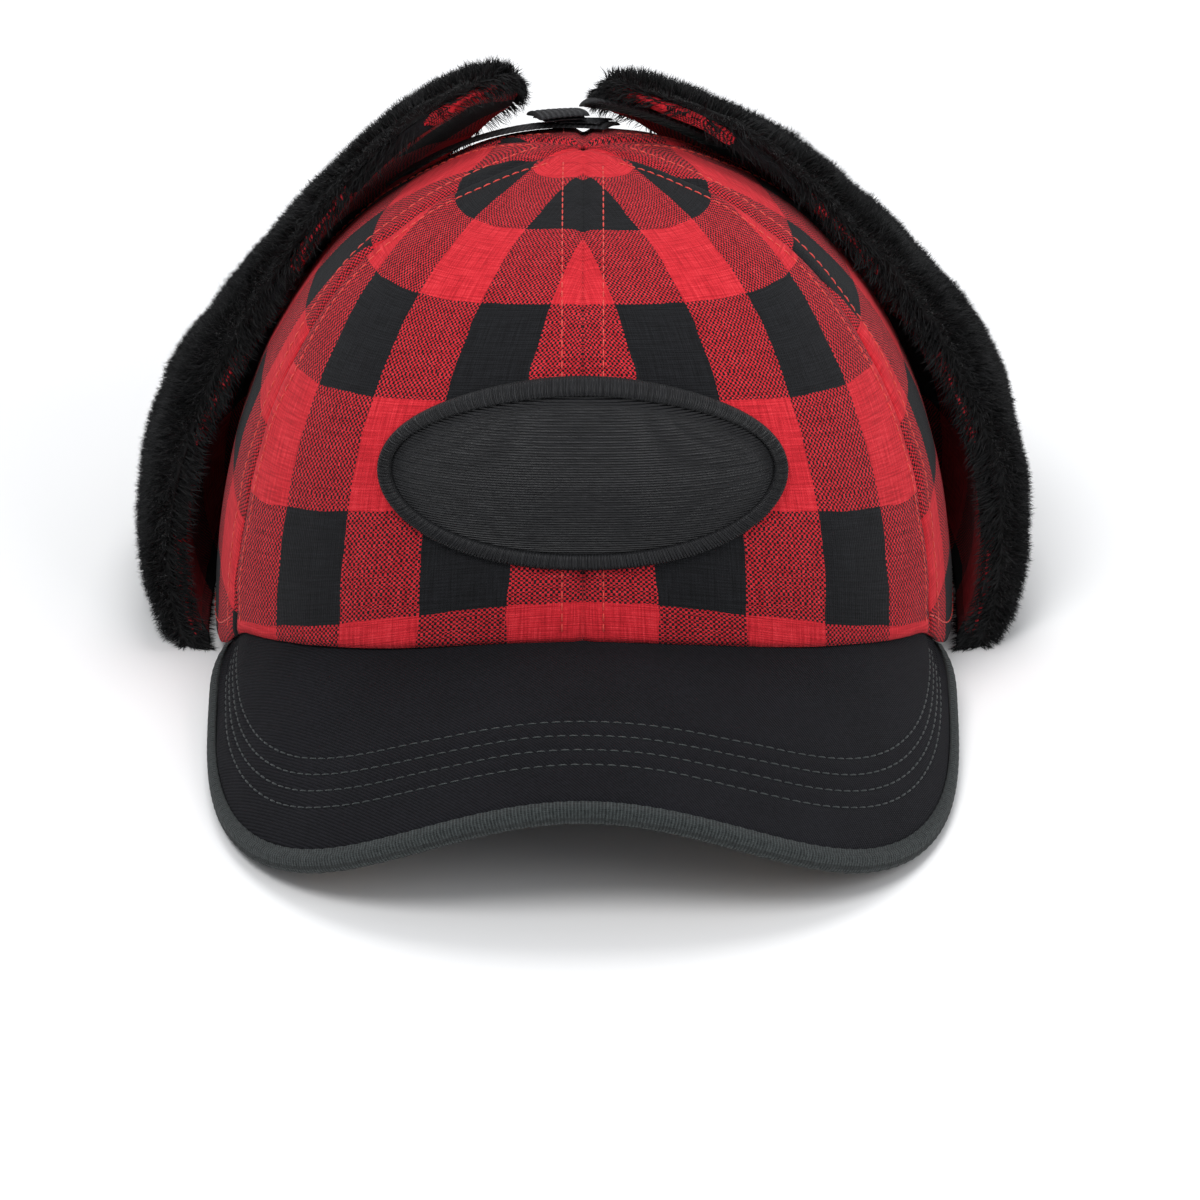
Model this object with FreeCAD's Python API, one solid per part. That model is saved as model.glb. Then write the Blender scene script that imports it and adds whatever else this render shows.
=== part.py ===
import FreeCAD, Part
import math
import os

# Trapper cap: six-gore crown, curved brim, two ear flaps and a neck flap folded up,
# plush side out, with a short strap over the top.
# Millimetres. +Z up, the cap faces -Y, and left and right are the wearer's, so left is +X.
# Origin: centre of the head opening, on the plane that the cap stands on.

os.makedirs("parts", exist_ok=True)

# ---- crown
CROWN_HALF_WIDTH = 89.0
CROWN_HALF_LENGTH = 99.0
CROWN_HEIGHT = 123.0
CROWN_CLOTH = 1.0
PLAN_POWER = 2.6  # fullness of the oval seen from above
REAR_POWER = 1.7  # fullness of a meridian at the back
FRONT_POWER = 3.1  # fullness of the upright front meridian
FRONT_SHARE_POWER = 1.5  # how soon the front's fullness fades to the sides
HEM_FRONT_HEIGHT = 41.0
HEM_BASE_HEIGHT = 3.0
HEM_BEND_POWER = 1.3
HEM_RISE_TURN = 80.0  # where the hem leaves the base height, in degrees from the front
HEM_RISE_DEG = 25.0  # over which it joins the front's curve
APEX_RADIUS = 1.5
SEAM_GAP_DEG = 0.1
GORE_DEG = 60.0

# ---- crown lining pieces
LAYER_GAP = 0.15
STIFFENER_THICKNESS = 0.8
STIFFENER_TOP_DEG = 68.0
STIFFENER_MARGIN_DEG = 0.5
LINING_LIFT = 3.0  # lower edge of the stiffeners and tapes above the hem
TAPE_THICKNESS = 0.6
TAPE_HALF_WIDTH = 7.0
TAPE_TAPER = 14.0
TAPE_END_RADIUS = 4.0
SWEATBAND_THICKNESS = 1.5
SWEATBAND_HEIGHT = 32.0
SWEATBAND_LIFT = 0.5
SWEATBAND_SEAM_DEG = 0.4

# ---- brim
BRIM_HALF_WIDTH = 87.0
BRIM_REACH = 61.0  # how far the edge stands out from the front seam
BRIM_CENTRE_SETBACK = 37.0  # from the front seam back to the widest place
BRIM_TAIL = 40.0
BRIM_POWER = 3.0
BRIM_FRONT_HEIGHT = 32.0
BRIM_SIDE_HEIGHT = 4.6
BRIM_BEND_POWER = 1.9
BRIM_TAIL_RISE = 7.5  # the edge climbs to the hem at its ends
BRIM_RISE_FROM_DEG = 55.0
BRIM_END_DEG = 102.0  # on the edge, seen from the widest place's centre
BRIM_SEAM_END_DEG = 64.0  # on the crown's hem
BRIM_FAN_POWER = 2.4
BRIM_FAN_SHARE = 0.85
BRIM_SEAM_INSET = 2.4
BRIM_SEAM_DROP = 0.7
BRIM_TOP_CLOTH = 1.0
BRIM_BOARD = 1.8
BRIM_UNDER_CLOTH = 0.8
BRIM_LAYER_GAP = 0.1
BINDING_THICKNESS = 1.6
BINDING_LIP = 0.6
BINDING_GAP = 0.2

# ---- front badge
BADGE_HALF_WIDTH = 49.0
BADGE_HALF_HEIGHT = 17.0
BADGE_CENTRE_HEIGHT = 80.0
BADGE_THICKNESS = 1.1
BADGE_BORDER_WIDTH = 3.4
BADGE_BORDER_THICKNESS = 1.7
BADGE_BORDER_SEAM_DEG = 0.4

# ---- ear flaps: sections stand square to a fold line that leans to follow the hem
EAR_FRONT_TURN = 75.0  # the fold's ends on the hem, in degrees from the front
EAR_REAR_TURN = 139.0
EAR_TIP_FRONT = -2.0  # along the fold line, at the flap's tip
EAR_TIP_REAR = 40.0
EAR_TIP_ROUNDING = 0.10
EAR_TIP_ROUNDING_POWER = 4.0
EAR_EDGE_POWER = 1.3
FLAP_HEM_STANDOFF = 1.2
FLAP_STANDOFF = 8.5
FLAP_FLARE_DEG = 9.0  # how soon the flap leans away above the fold
FLAP_SHELL = 1.2
FLAP_PADDING = 2.5
FLAP_PILE = 10.0
PILE_AT_FOLD = 0.85  # share of the pile's depth at the fold
EAR_TILT = 4.0  # front edge further off the crown than the rear edge
EAR_LEAN_POWER = 2.0

# each ear flap: where its tip ends, a dip towards the crown as a share of the standoff,
# and a lift at the tip
LEFT_EAR = {"tip": 86.0, "dip": 0.985, "dip_at": 59.0, "dip_width": 23.0, "lift": 0.3,
            "lift_from": 76.0, "tip_pile": 0.50}
RIGHT_EAR = {"tip": 80.5, "dip": 0.96, "dip_at": 50.0, "dip_width": 21.0, "lift": 2.4,
             "lift_from": 66.0, "tip_pile": 0.60}

# ---- neck flap
NECK_TIP_DEG = 34.0
NECK_STANDOFF = 3.0
NECK_PILE = 9.0
FLAP_TO_FLAP_GAP = 1.0

# ---- strap over the top, sewn to the left flap and closed on the right flap's tab
STRAP_FRONT = 9.0
STRAP_WIDTH = 20.0
STRAP_THICKNESS = 1.4
STRAP_HINGE_DEG = 88.0
STRAP_END_DEG = 93.8
STRAP_HINGE_GAP_DEG = 0.4
STRAP_SEWN_DEG = 72.0
STRAP_SEWN_GAP = 0.3
TAB_STANDOFF = 0.9
TAB_THICKNESS = 1.2
TAB_SEWN_DEG = 64.0
TAB_END_DEG = 91.5
PAD_THICKNESS = 0.8
PAD_LENGTH_DEG = 4.6
PAD_MARGIN = 1.5
PAD_GAP = 0.05
PAD_END_DEG = 0.6
CLOSURE_GAP = 0.3

# ---- points along and across each piece's grid
GORE_GRID = (15, 9)
STIFFENER_GRID = (11, 9)
TAPE_GRID = (15, 5)
SWEATBAND_GRID = (5, 49)
BRIM_GRID = (7, 61)
BINDING_ROWS = 3
BADGE_FIELD_GRID = (9, 15)
BADGE_BORDER_GRID = (3, 49)
EAR_GRID = (21, 13)
NECK_GRID = (7, 17)
STRAP_ROW_DEG = 2.0
STRAP_LEAST_POINTS = 4

SEWING_TOLERANCE = 1e-4
SEARCH_TOLERANCE = 1e-6

FULL_TURN = 360.0
HALF_TURN = 180.0
QUARTER_TURN = 90.0


# ---- from a grid of points to a solid

def surface(grid):
    made = Part.BSplineSurface()
    made.interpolate(grid)
    return made


def edges_of(made):
    u0, u1, v0, v1 = made.bounds()
    sides = (made.uIso(u0), made.uIso(u1), made.vIso(v0), made.vIso(v1))
    return [side.toShape() for side in sides]


def solid_between(outer_grid, inner_grid):
    """The closed solid between two grids of points that have the same rows and columns."""
    outer = surface(outer_grid)
    inner = surface(inner_grid)
    walls = [Part.makeRuledSurface(a, b) for a, b in zip(edges_of(outer), edges_of(inner))]
    shell = Part.Compound([outer.toShape(), inner.toShape()] + walls)
    shell.sewShape(SEWING_TOLERANCE)
    solid = Part.makeSolid(shell.Shells[0])
    if solid.Volume < 0:
        solid.reverse()
    return solid


def steps(first, last, count):
    return [first + (last - first) * i / (count - 1) for i in range(count)]


def shell_solid(point, rows, columns, outer, inner):
    """A sheet: point(row, column, offset) between an outer and an inner offset."""
    grids = [[[point(r, c, offset) for c in columns] for r in rows] for offset in (outer, inner)]
    return solid_between(*grids)


def save(name, shape):
    shape.exportStep(f"parts/{name}.step")


# ---- the crown's form

def plan_radius(turn):
    """Crown radius on the standing plane, in the direction turn degrees from the front."""
    across = abs(math.sin(math.radians(turn))) / CROWN_HALF_WIDTH
    along = abs(math.cos(math.radians(turn))) / CROWN_HALF_LENGTH
    return (across ** PLAN_POWER + along ** PLAN_POWER) ** (-1 / PLAN_POWER)


def meridian_power(turn):
    frontness = (1 + math.cos(math.radians(turn))) / 2
    return REAR_POWER + (FRONT_POWER - REAR_POWER) * frontness ** FRONT_SHARE_POWER


def radius_at(turn, z, inset=0.0):
    power = meridian_power(turn)
    share = max(0.0, 1 - (z / (CROWN_HEIGHT - inset)) ** power)
    return (plan_radius(turn) - inset) * share ** (1 / power)


def at_turn(turn, radius, z):
    angle = math.radians(turn)
    return FreeCAD.Vector(radius * math.sin(angle), -radius * math.cos(angle), z)


def hem_height(turn):
    """Level round the back, rising through the temples to a gentle arch over the brim."""
    ahead = max(0.0, math.cos(math.radians(turn))) ** HEM_BEND_POWER
    away = abs(math.remainder(turn, FULL_TURN))
    share = min(1.0, max(0.0, (HEM_RISE_TURN - away) / HEM_RISE_DEG))
    smooth = share ** 2 * (3 - 2 * share)
    return HEM_BASE_HEIGHT + (HEM_FRONT_HEIGHT - HEM_BASE_HEIGHT) * ahead * smooth


def climb_of_height(turn, z, inset=0.0):
    return math.degrees(math.atan2(z, radius_at(turn, z, inset)))


def climb_of_radius(turn, radius):
    power = meridian_power(turn)
    z = CROWN_HEIGHT * (1 - (radius / plan_radius(turn)) ** power) ** (1 / power)
    return math.degrees(math.atan2(z, radius))


def on_meridian(turn, climb, inset):
    """The crown's point at an angle of climb above the standing plane."""
    power = meridian_power(turn)
    level = math.cos(math.radians(climb)) / (plan_radius(turn) - inset)
    upright = math.sin(math.radians(climb)) / (CROWN_HEIGHT - inset)
    reach = (level ** power + upright ** power) ** (-1 / power)
    return at_turn(
        turn, reach * math.cos(math.radians(climb)), reach * math.sin(math.radians(climb))
    )


def inside_crown(point):
    turn = math.degrees(math.atan2(point.x, -point.y))
    power = meridian_power(turn)
    flat = math.hypot(point.x, point.y) / plan_radius(turn)
    return flat ** power + (point.z / CROWN_HEIGHT) ** power < 1


def crown_reach(centre, direction):
    """How far the crown's outside lies from centre in a direction."""
    low, high = 0.0, 2 * CROWN_HEIGHT
    while high - low > SEARCH_TOLERANCE:
        middle = (low + high) / 2
        if inside_crown(centre + direction * middle):
            low = middle
        else:
            high = middle
    return low


# ---- crown pieces

def gore(first_turn):
    rows, columns = GORE_GRID
    turns = steps(first_turn + SEAM_GAP_DEG, first_turn + GORE_DEG - SEAM_GAP_DEG, columns)

    def point(share, turn, inset):
        low = climb_of_height(turn, hem_height(turn))
        high = climb_of_radius(turn, APEX_RADIUS)
        return on_meridian(turn, low + (high - low) * share, inset)

    return shell_solid(point, steps(0, 1, rows), turns, 0.0, CROWN_CLOTH)


def stiffener(first_turn):
    first = first_turn + STIFFENER_MARGIN_DEG
    last = first_turn + GORE_DEG - STIFFENER_MARGIN_DEG
    outer = CROWN_CLOTH + LAYER_GAP

    def point(share, turn, inset):
        low = climb_of_height(turn, hem_height(turn) + LINING_LIFT)
        return on_meridian(turn, low + (STIFFENER_TOP_DEG - low) * share, inset)

    rows, columns = STIFFENER_GRID
    return shell_solid(point, steps(0, 1, rows), steps(first, last, columns), outer,
                       outer + STIFFENER_THICKNESS)


def tape_inset():
    return CROWN_CLOTH + 2 * LAYER_GAP + STIFFENER_THICKNESS


def seam_tape(seam_turn):
    low = climb_of_height(seam_turn, hem_height(seam_turn) + LINING_LIFT)
    high = climb_of_radius(seam_turn, TAPE_END_RADIUS)

    def point(share, across, inset):
        climb = low + (high - low) * share
        middle = on_meridian(seam_turn, climb, inset)
        radius = math.hypot(middle.x, middle.y)
        turn = seam_turn + across * math.degrees(math.atan(TAPE_HALF_WIDTH / (radius + TAPE_TAPER)))
        return on_meridian(turn, climb, inset)

    rows, columns = TAPE_GRID
    return shell_solid(point, steps(0, 1, rows), steps(-1, 1, columns), tape_inset(),
                       tape_inset() + TAPE_THICKNESS)


def sweatband():
    outer = tape_inset() + TAPE_THICKNESS + LAYER_GAP
    rows, columns = SWEATBAND_GRID
    turns = steps(SWEATBAND_SEAM_DEG - HALF_TURN, HALF_TURN - SWEATBAND_SEAM_DEG, columns)

    def point(share, turn, inset):
        z = hem_height(turn) + SWEATBAND_LIFT + SWEATBAND_HEIGHT * share
        return at_turn(turn, radius_at(turn, z, inset), z)

    return shell_solid(point, steps(0, 1, rows), turns, outer, outer + SWEATBAND_THICKNESS)


# ---- brim

def brim_seam(turn):
    z = hem_height(turn)
    return at_turn(turn, radius_at(turn, z, BRIM_SEAM_INSET), z - BRIM_SEAM_DROP)


def brim_edge(angle, outward):
    """The brim's edge seen from above, as a full curve round the widest place's centre."""
    ahead = math.cos(math.radians(angle))
    length = BRIM_REACH + BRIM_CENTRE_SETBACK if ahead > 0 else BRIM_TAIL
    across = abs(math.sin(math.radians(angle))) / BRIM_HALF_WIDTH
    reach = (across ** BRIM_POWER + (abs(ahead) / length) ** BRIM_POWER) ** (-1 / BRIM_POWER)
    x = reach * math.sin(math.radians(angle))
    bend = max(0.0, 1 - (x / BRIM_HALF_WIDTH) ** 2) ** BRIM_BEND_POWER
    z = BRIM_SIDE_HEIGHT + (BRIM_FRONT_HEIGHT - BRIM_SIDE_HEIGHT) * bend
    tail = max(0.0, (abs(angle) - BRIM_RISE_FROM_DEG) / (BRIM_END_DEG - BRIM_RISE_FROM_DEG))
    z = z + BRIM_TAIL_RISE * tail ** 2
    radius = reach + outward
    centre = BRIM_CENTRE_SETBACK - CROWN_HALF_LENGTH
    return FreeCAD.Vector(
        radius * math.sin(math.radians(angle)), centre - radius * ahead, z
    )


def seam_turn_for(angle):
    share = abs(angle) / BRIM_END_DEG
    fan = BRIM_FAN_SHARE * (1 - (1 - share) ** BRIM_FAN_POWER) + (1 - BRIM_FAN_SHARE) * share
    return math.copysign(BRIM_SEAM_END_DEG * fan, angle)


BRIM_ANGLES = steps(-BRIM_END_DEG, BRIM_END_DEG, BRIM_GRID[1])


def brim_layer(top, thickness):
    def point(share, angle, drop):
        seam = brim_seam(seam_turn_for(angle))
        edge = brim_edge(angle, 0.0)
        return seam + (edge - seam) * share - FreeCAD.Vector(0, 0, drop)

    return shell_solid(point, steps(0, 1, BRIM_GRID[0]), BRIM_ANGLES, top, top + thickness)


def brim_binding():
    bottom = BRIM_TOP_CLOTH + BRIM_BOARD + BRIM_UNDER_CLOTH + 2 * BRIM_LAYER_GAP + BINDING_LIP

    def point(share, angle, outward):
        drop = -BINDING_LIP + (bottom + BINDING_LIP) * share
        return brim_edge(angle, outward) - FreeCAD.Vector(0, 0, drop)

    return shell_solid(point, steps(0, 1, BINDING_ROWS), BRIM_ANGLES,
                       BINDING_GAP + BINDING_THICKNESS, BINDING_GAP)


# ---- badge

def badge_place(across, up, inset):
    turn = math.degrees(across / plan_radius(0))
    z = BADGE_CENTRE_HEIGHT + up
    return at_turn(turn, radius_at(turn, z, inset), z)


def badge_field():
    """An oval made from a square grid, so that no point of it is a pole."""
    def point(v, u, inset):
        across = BADGE_HALF_WIDTH * u * math.sqrt(1 - v * v / 2)
        up = BADGE_HALF_HEIGHT * v * math.sqrt(1 - u * u / 2)
        return badge_place(across, up, inset)

    rows, columns = BADGE_FIELD_GRID
    return shell_solid(point, steps(-1, 1, rows), steps(-1, 1, columns),
                       -LAYER_GAP - BADGE_THICKNESS, -LAYER_GAP)


def badge_border():
    first = QUARTER_TURN + BADGE_BORDER_SEAM_DEG
    last = QUARTER_TURN + FULL_TURN - BADGE_BORDER_SEAM_DEG

    def point(share, angle, inset):
        grow = LAYER_GAP + BADGE_BORDER_WIDTH * share
        across = (BADGE_HALF_WIDTH + grow) * math.cos(math.radians(angle))
        up = -(BADGE_HALF_HEIGHT + grow) * math.sin(math.radians(angle))
        return badge_place(across, up, inset)

    rows, columns = BADGE_BORDER_GRID
    return shell_solid(point, steps(0, 1, rows), steps(first, last, columns),
                       -LAYER_GAP - BADGE_BORDER_THICKNESS, -LAYER_GAP)


# ---- ear flaps

EAR_FRONT = at_turn(EAR_FRONT_TURN, plan_radius(EAR_FRONT_TURN), 0.0)
EAR_REAR = at_turn(EAR_REAR_TURN, plan_radius(EAR_REAR_TURN), 0.0)
EAR_LEAN = math.atan2(EAR_FRONT.x - EAR_REAR.x, EAR_REAR.y - EAR_FRONT.y)


def fold_line(side):
    return FreeCAD.Vector(-side * math.sin(EAR_LEAN), math.cos(EAR_LEAN), 0)


def fold_outward(side):
    return FreeCAD.Vector(side * math.cos(EAR_LEAN), math.sin(EAR_LEAN), 0)


def along_fold(place):
    return place.dot(fold_line(1))


EAR_SIDES = {1: LEFT_EAR, -1: RIGHT_EAR}


def around_crown(side, along, climb, offset):
    """A point off the crown, in the section square to the fold line at along."""
    centre = fold_line(side) * along
    ray = fold_outward(side) * math.cos(math.radians(climb))
    ray = ray + FreeCAD.Vector(0, 0, math.sin(math.radians(climb)))
    return centre + ray * (crown_reach(centre, ray) + offset)


def flare(climb):
    return 1 - math.exp(-climb / FLAP_FLARE_DEG)


def ear_standoff(side, climb, share_back):
    ear = EAR_SIDES[side]
    dip = ear["dip"] * math.exp(-((climb - ear["dip_at"]) / ear["dip_width"]) ** 2)
    dipped = FLAP_STANDOFF * (flare(climb) - dip)
    lift = ear["lift"] * max(0.0, (climb - ear["lift_from"]) / (ear["tip"] - ear["lift_from"])) ** 2
    tilt = EAR_TILT * (0.5 - share_back) * (climb / ear["tip"]) ** EAR_LEAN_POWER
    return FLAP_HEM_STANDOFF + dipped + lift + tilt


def pile_depth(side, climb):
    ear = EAR_SIDES[side]
    at_tip = 1 - (1 - ear["tip_pile"]) * (climb / ear["tip"]) ** EAR_LEAN_POWER
    return FLAP_PILE * (PILE_AT_FOLD + (1 - PILE_AT_FOLD) * flare(climb)) * at_tip


def flap_layers(pile):
    """Each layer's outer and inner offset from the flap's inner face, by climb."""
    padding_in = FLAP_SHELL + LAYER_GAP
    padding_out = padding_in + FLAP_PADDING
    pile_in = padding_out + LAYER_GAP
    return {
        "shell": (lambda climb: FLAP_SHELL, lambda climb: 0.0),
        "padding": (lambda climb: padding_out, lambda climb: padding_in),
        "fur": (lambda climb: pile_in + pile(climb), lambda climb: pile_in),
    }


def ear_layer(side, faces):
    ear = EAR_SIDES[side]
    front, rear = along_fold(EAR_FRONT), along_fold(EAR_REAR)

    def point(share_up, share_back, face):
        edge = abs(2 * share_back - 1) ** EAR_TIP_ROUNDING_POWER
        climb = ear["tip"] * share_up * (1 - EAR_TIP_ROUNDING * edge * share_up)
        rise = share_up ** EAR_EDGE_POWER
        start = front + (EAR_TIP_FRONT - front) * rise
        end = rear + (EAR_TIP_REAR - rear) * rise
        along = start + (end - start) * share_back
        offset = ear_standoff(side, climb, share_back) + face(climb)
        return around_crown(side, along, climb, offset)

    rows, columns = EAR_GRID
    return shell_solid(point, steps(0, 1, rows), steps(0, 1, columns), faces[0], faces[1])


# ---- neck flap

def behind_crown(x, climb, offset):
    centre = FreeCAD.Vector(x, 0, 0)
    ray = FreeCAD.Vector(0, math.cos(math.radians(climb)), math.sin(math.radians(climb)))
    return centre + ray * (crown_reach(centre, ray) + offset)


def neck_half_width(climb):
    """Where the neck flap's inner face meets the plane that bounds the ear flap."""
    limit = along_fold(EAR_REAR) + FLAP_TO_FLAP_GAP
    low, high = 0.0, EAR_REAR.x
    while high - low > SEARCH_TOLERANCE:
        middle = (low + high) / 2
        place = behind_crown(middle, climb, FLAP_HEM_STANDOFF)
        if along_fold(place) > limit:
            low = middle
        else:
            high = middle
    return low


def neck_layer(faces):
    widths = {}

    def point(climb, share, face):
        if climb not in widths:
            widths[climb] = neck_half_width(climb)
        offset = FLAP_HEM_STANDOFF + NECK_STANDOFF * flare(climb) + face(climb)
        return behind_crown(widths[climb] * share, climb, offset)

    rows, columns = NECK_GRID
    climbs = steps(0, NECK_TIP_DEG, rows)
    return shell_solid(point, climbs, steps(-1, 1, columns), faces[0], faces[1])


# ---- strap and closure

def strip(side, climbs, margin, outer, inner):
    """A ribbon over the crown, square to the fold line, with a margin off each of its edges."""
    first = STRAP_FRONT + margin
    last = STRAP_FRONT + STRAP_WIDTH - margin

    def point(climb, along, offset):
        lift = offset(climb, along) if callable(offset) else offset
        return around_crown(side, along, climb, lift)

    rows = max(STRAP_LEAST_POINTS, round(abs(climbs[1] - climbs[0]) / STRAP_ROW_DEG) + 1)
    columns = steps(first, last, STRAP_LEAST_POINTS)
    return shell_solid(point, steps(*climbs, rows), columns, outer, inner)


def under_left_flap(depth):
    def offset(climb, along):
        front, rear = along_fold(EAR_FRONT), along_fold(EAR_REAR)
        rise = (climb / LEFT_EAR["tip"]) ** EAR_EDGE_POWER
        start = front + (EAR_TIP_FRONT - front) * rise
        end = rear + (EAR_TIP_REAR - rear) * rise
        share_back = (along - start) / (end - start)
        return ear_standoff(1, climb, share_back) - STRAP_SEWN_GAP - depth

    return offset


TAB_TOP = TAB_STANDOFF + TAB_THICKNESS
LOOP_BOTTOM = TAB_TOP + PAD_GAP
LOOP_TOP = LOOP_BOTTOM + PAD_THICKNESS
HOOK_BOTTOM = LOOP_TOP + CLOSURE_GAP
HOOK_TOP = HOOK_BOTTOM + PAD_THICKNESS
STRAP_BOTTOM = HOOK_TOP + PAD_GAP
STRAP_TOP = STRAP_BOTTOM + STRAP_THICKNESS


def strap_pieces():
    tab_end = TAB_END_DEG
    loop_start = tab_end - PAD_END_DEG - PAD_LENGTH_DEG
    hook_end = STRAP_END_DEG - PAD_END_DEG
    return {
        "strap_sewn_end": strip(
            1, (STRAP_SEWN_DEG, STRAP_HINGE_DEG - STRAP_HINGE_GAP_DEG), 0.0,
            under_left_flap(0.0), under_left_flap(STRAP_THICKNESS)),
        "strap_webbing": strip(
            1, (STRAP_HINGE_DEG + STRAP_HINGE_GAP_DEG, STRAP_END_DEG), 0.0,
            STRAP_TOP, STRAP_BOTTOM),
        "strap_hook_pad": strip(
            1, (hook_end - PAD_LENGTH_DEG, hook_end), PAD_MARGIN, HOOK_TOP, HOOK_BOTTOM),
        "closure_tab": strip(
            -1, (TAB_SEWN_DEG, tab_end), 0.0, TAB_TOP, TAB_STANDOFF),
        "closure_loop_pad": strip(
            -1, (loop_start, tab_end - PAD_END_DEG), PAD_MARGIN, LOOP_TOP, LOOP_BOTTOM),
    }


# ---- make everything

GORES = {
    "front_left_panel": 0,
    "side_left_panel": 1,
    "rear_left_panel": 2,
    "rear_right_panel": 3,
    "side_right_panel": 4,
    "front_right_panel": 5,
}
SEAMS = {
    "seam_tape_front": 0,
    "seam_tape_front_left": 1,
    "seam_tape_rear_left": 2,
    "seam_tape_rear": 3,
    "seam_tape_rear_right": 4,
    "seam_tape_front_right": 5,
}


def main():
    for name, number in GORES.items():
        save(name, gore(number * GORE_DEG))
    save("front_left_stiffener", stiffener(0.0))
    save("front_right_stiffener", stiffener(-GORE_DEG))
    for name, number in SEAMS.items():
        save(name, seam_tape(number * GORE_DEG))
    save("sweatband", sweatband())

    board_top = BRIM_TOP_CLOTH + BRIM_LAYER_GAP
    under_top = board_top + BRIM_BOARD + BRIM_LAYER_GAP
    save("brim_top_cover", brim_layer(0.0, BRIM_TOP_CLOTH))
    save("brim_board", brim_layer(board_top, BRIM_BOARD))
    save("brim_under_cover", brim_layer(under_top, BRIM_UNDER_CLOTH))
    save("brim_binding", brim_binding())

    save("badge_field", badge_field())
    save("badge_border", badge_border())

    for side, word in ((1, "left"), (-1, "right")):
        for layer, faces in flap_layers(lambda climb: pile_depth(side, climb)).items():
            save(f"{word}_flap_{layer}", ear_layer(side, faces))
    for layer, faces in flap_layers(lambda climb: NECK_PILE).items():
        save(f"neck_flap_{layer}", neck_layer(faces))
    for name, shape in strap_pieces().items():
        save(name, shape)


main()
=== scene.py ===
import math
import bpy
import numpy as np
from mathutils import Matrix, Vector


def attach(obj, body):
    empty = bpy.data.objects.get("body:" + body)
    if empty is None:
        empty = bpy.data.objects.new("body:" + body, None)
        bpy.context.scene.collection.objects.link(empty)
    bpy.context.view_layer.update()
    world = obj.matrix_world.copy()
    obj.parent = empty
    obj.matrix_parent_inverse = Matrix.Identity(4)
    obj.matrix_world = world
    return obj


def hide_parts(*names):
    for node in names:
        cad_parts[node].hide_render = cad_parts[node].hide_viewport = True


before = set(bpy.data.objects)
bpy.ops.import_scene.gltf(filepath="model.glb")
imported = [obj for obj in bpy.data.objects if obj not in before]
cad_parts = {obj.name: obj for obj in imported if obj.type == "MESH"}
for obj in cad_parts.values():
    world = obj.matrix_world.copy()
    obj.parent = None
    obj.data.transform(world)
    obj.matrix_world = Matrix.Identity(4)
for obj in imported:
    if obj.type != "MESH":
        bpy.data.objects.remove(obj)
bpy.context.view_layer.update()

# Lengths are in millimetres until a mesh is made, and angles in radians.
MM = 0.001

# ------------------------------------------------------------------ camera, light and floor

AIM = Vector((4.0, -20.0, 11.8)) * MM
CAMERA_DISTANCE = 2.2
CAMERA_RISE = math.radians(27.5)
FRAME_WIDTH = 0.289  # how much of the object's plane the picture takes in
SENSOR_WIDTH = 36.0
WORLD_COLOUR, WORLD_STRENGTH = (0.94, 0.96, 1.0, 1), 0.55
LIGHTS = (  # name, place and size in metres, power in watts
    ("key", (-0.45, -0.9, 1.6), 0.8, 15.0),
    ("fill", (0.9, -0.9, 0.9), 0.9, 6.0),
    ("top", (0.1, 0.5, 1.5), 0.8, 9.0),
)
FLOOR_COLOUR, FLOOR_ROUGHNESS, FLOOR_REACH = (0.87, 0.87, 0.87, 1), 0.7, 6.0


def make_camera():
    data = bpy.data.cameras.new("camera")
    data.sensor_width = SENSOR_WIDTH
    data.lens = SENSOR_WIDTH * CAMERA_DISTANCE / FRAME_WIDTH
    data.clip_start, data.clip_end = 0.1, 20.0
    camera = bpy.data.objects.new("camera", data)
    bpy.context.scene.collection.objects.link(camera)
    back = Vector((0, -math.cos(CAMERA_RISE), math.sin(CAMERA_RISE)))
    camera.location = AIM + back * CAMERA_DISTANCE
    camera.rotation_mode = "QUATERNION"
    camera.rotation_quaternion = (-back).to_track_quat("-Z", "Y")
    bpy.context.scene.camera = camera


def area_light(name, place, size, power):
    data = bpy.data.lights.new(name, "AREA")
    data.shape, data.size, data.energy = "DISK", size, power
    light = bpy.data.objects.new(name, data)
    bpy.context.scene.collection.objects.link(light)
    light.location = place
    light.rotation_mode = "QUATERNION"
    light.rotation_quaternion = (AIM - Vector(place)).to_track_quat("-Z", "Y")


def make_stage():
    world = bpy.data.worlds.new("studio")
    world.use_nodes = True
    world.node_tree.nodes["Background"].inputs["Color"].default_value = WORLD_COLOUR
    world.node_tree.nodes["Background"].inputs["Strength"].default_value = WORLD_STRENGTH
    bpy.context.scene.world = world
    bpy.context.scene.view_settings.view_transform = "Standard"
    for light in LIGHTS:
        area_light(*light)
    data = bpy.data.meshes.new("floor")
    reach = FLOOR_REACH
    corners = [(-reach, -reach, 0), (reach, -reach, 0), (reach, reach, 0), (-reach, reach, 0)]
    data.from_pydata(corners, [], [(0, 1, 2, 3)])
    floor = bpy.data.objects.new("floor", data)
    bpy.context.scene.collection.objects.link(floor)
    paint = bpy.data.materials.new("floor")
    paint.use_nodes = True
    shader = paint.node_tree.nodes["Principled BSDF"]
    shader.inputs["Base Color"].default_value = FLOOR_COLOUR
    shader.inputs["Roughness"].default_value = FLOOR_ROUGHNESS
    data.materials.append(paint)


make_camera()
make_stage()

# ------------------------------------------------------------------ node helpers


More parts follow.
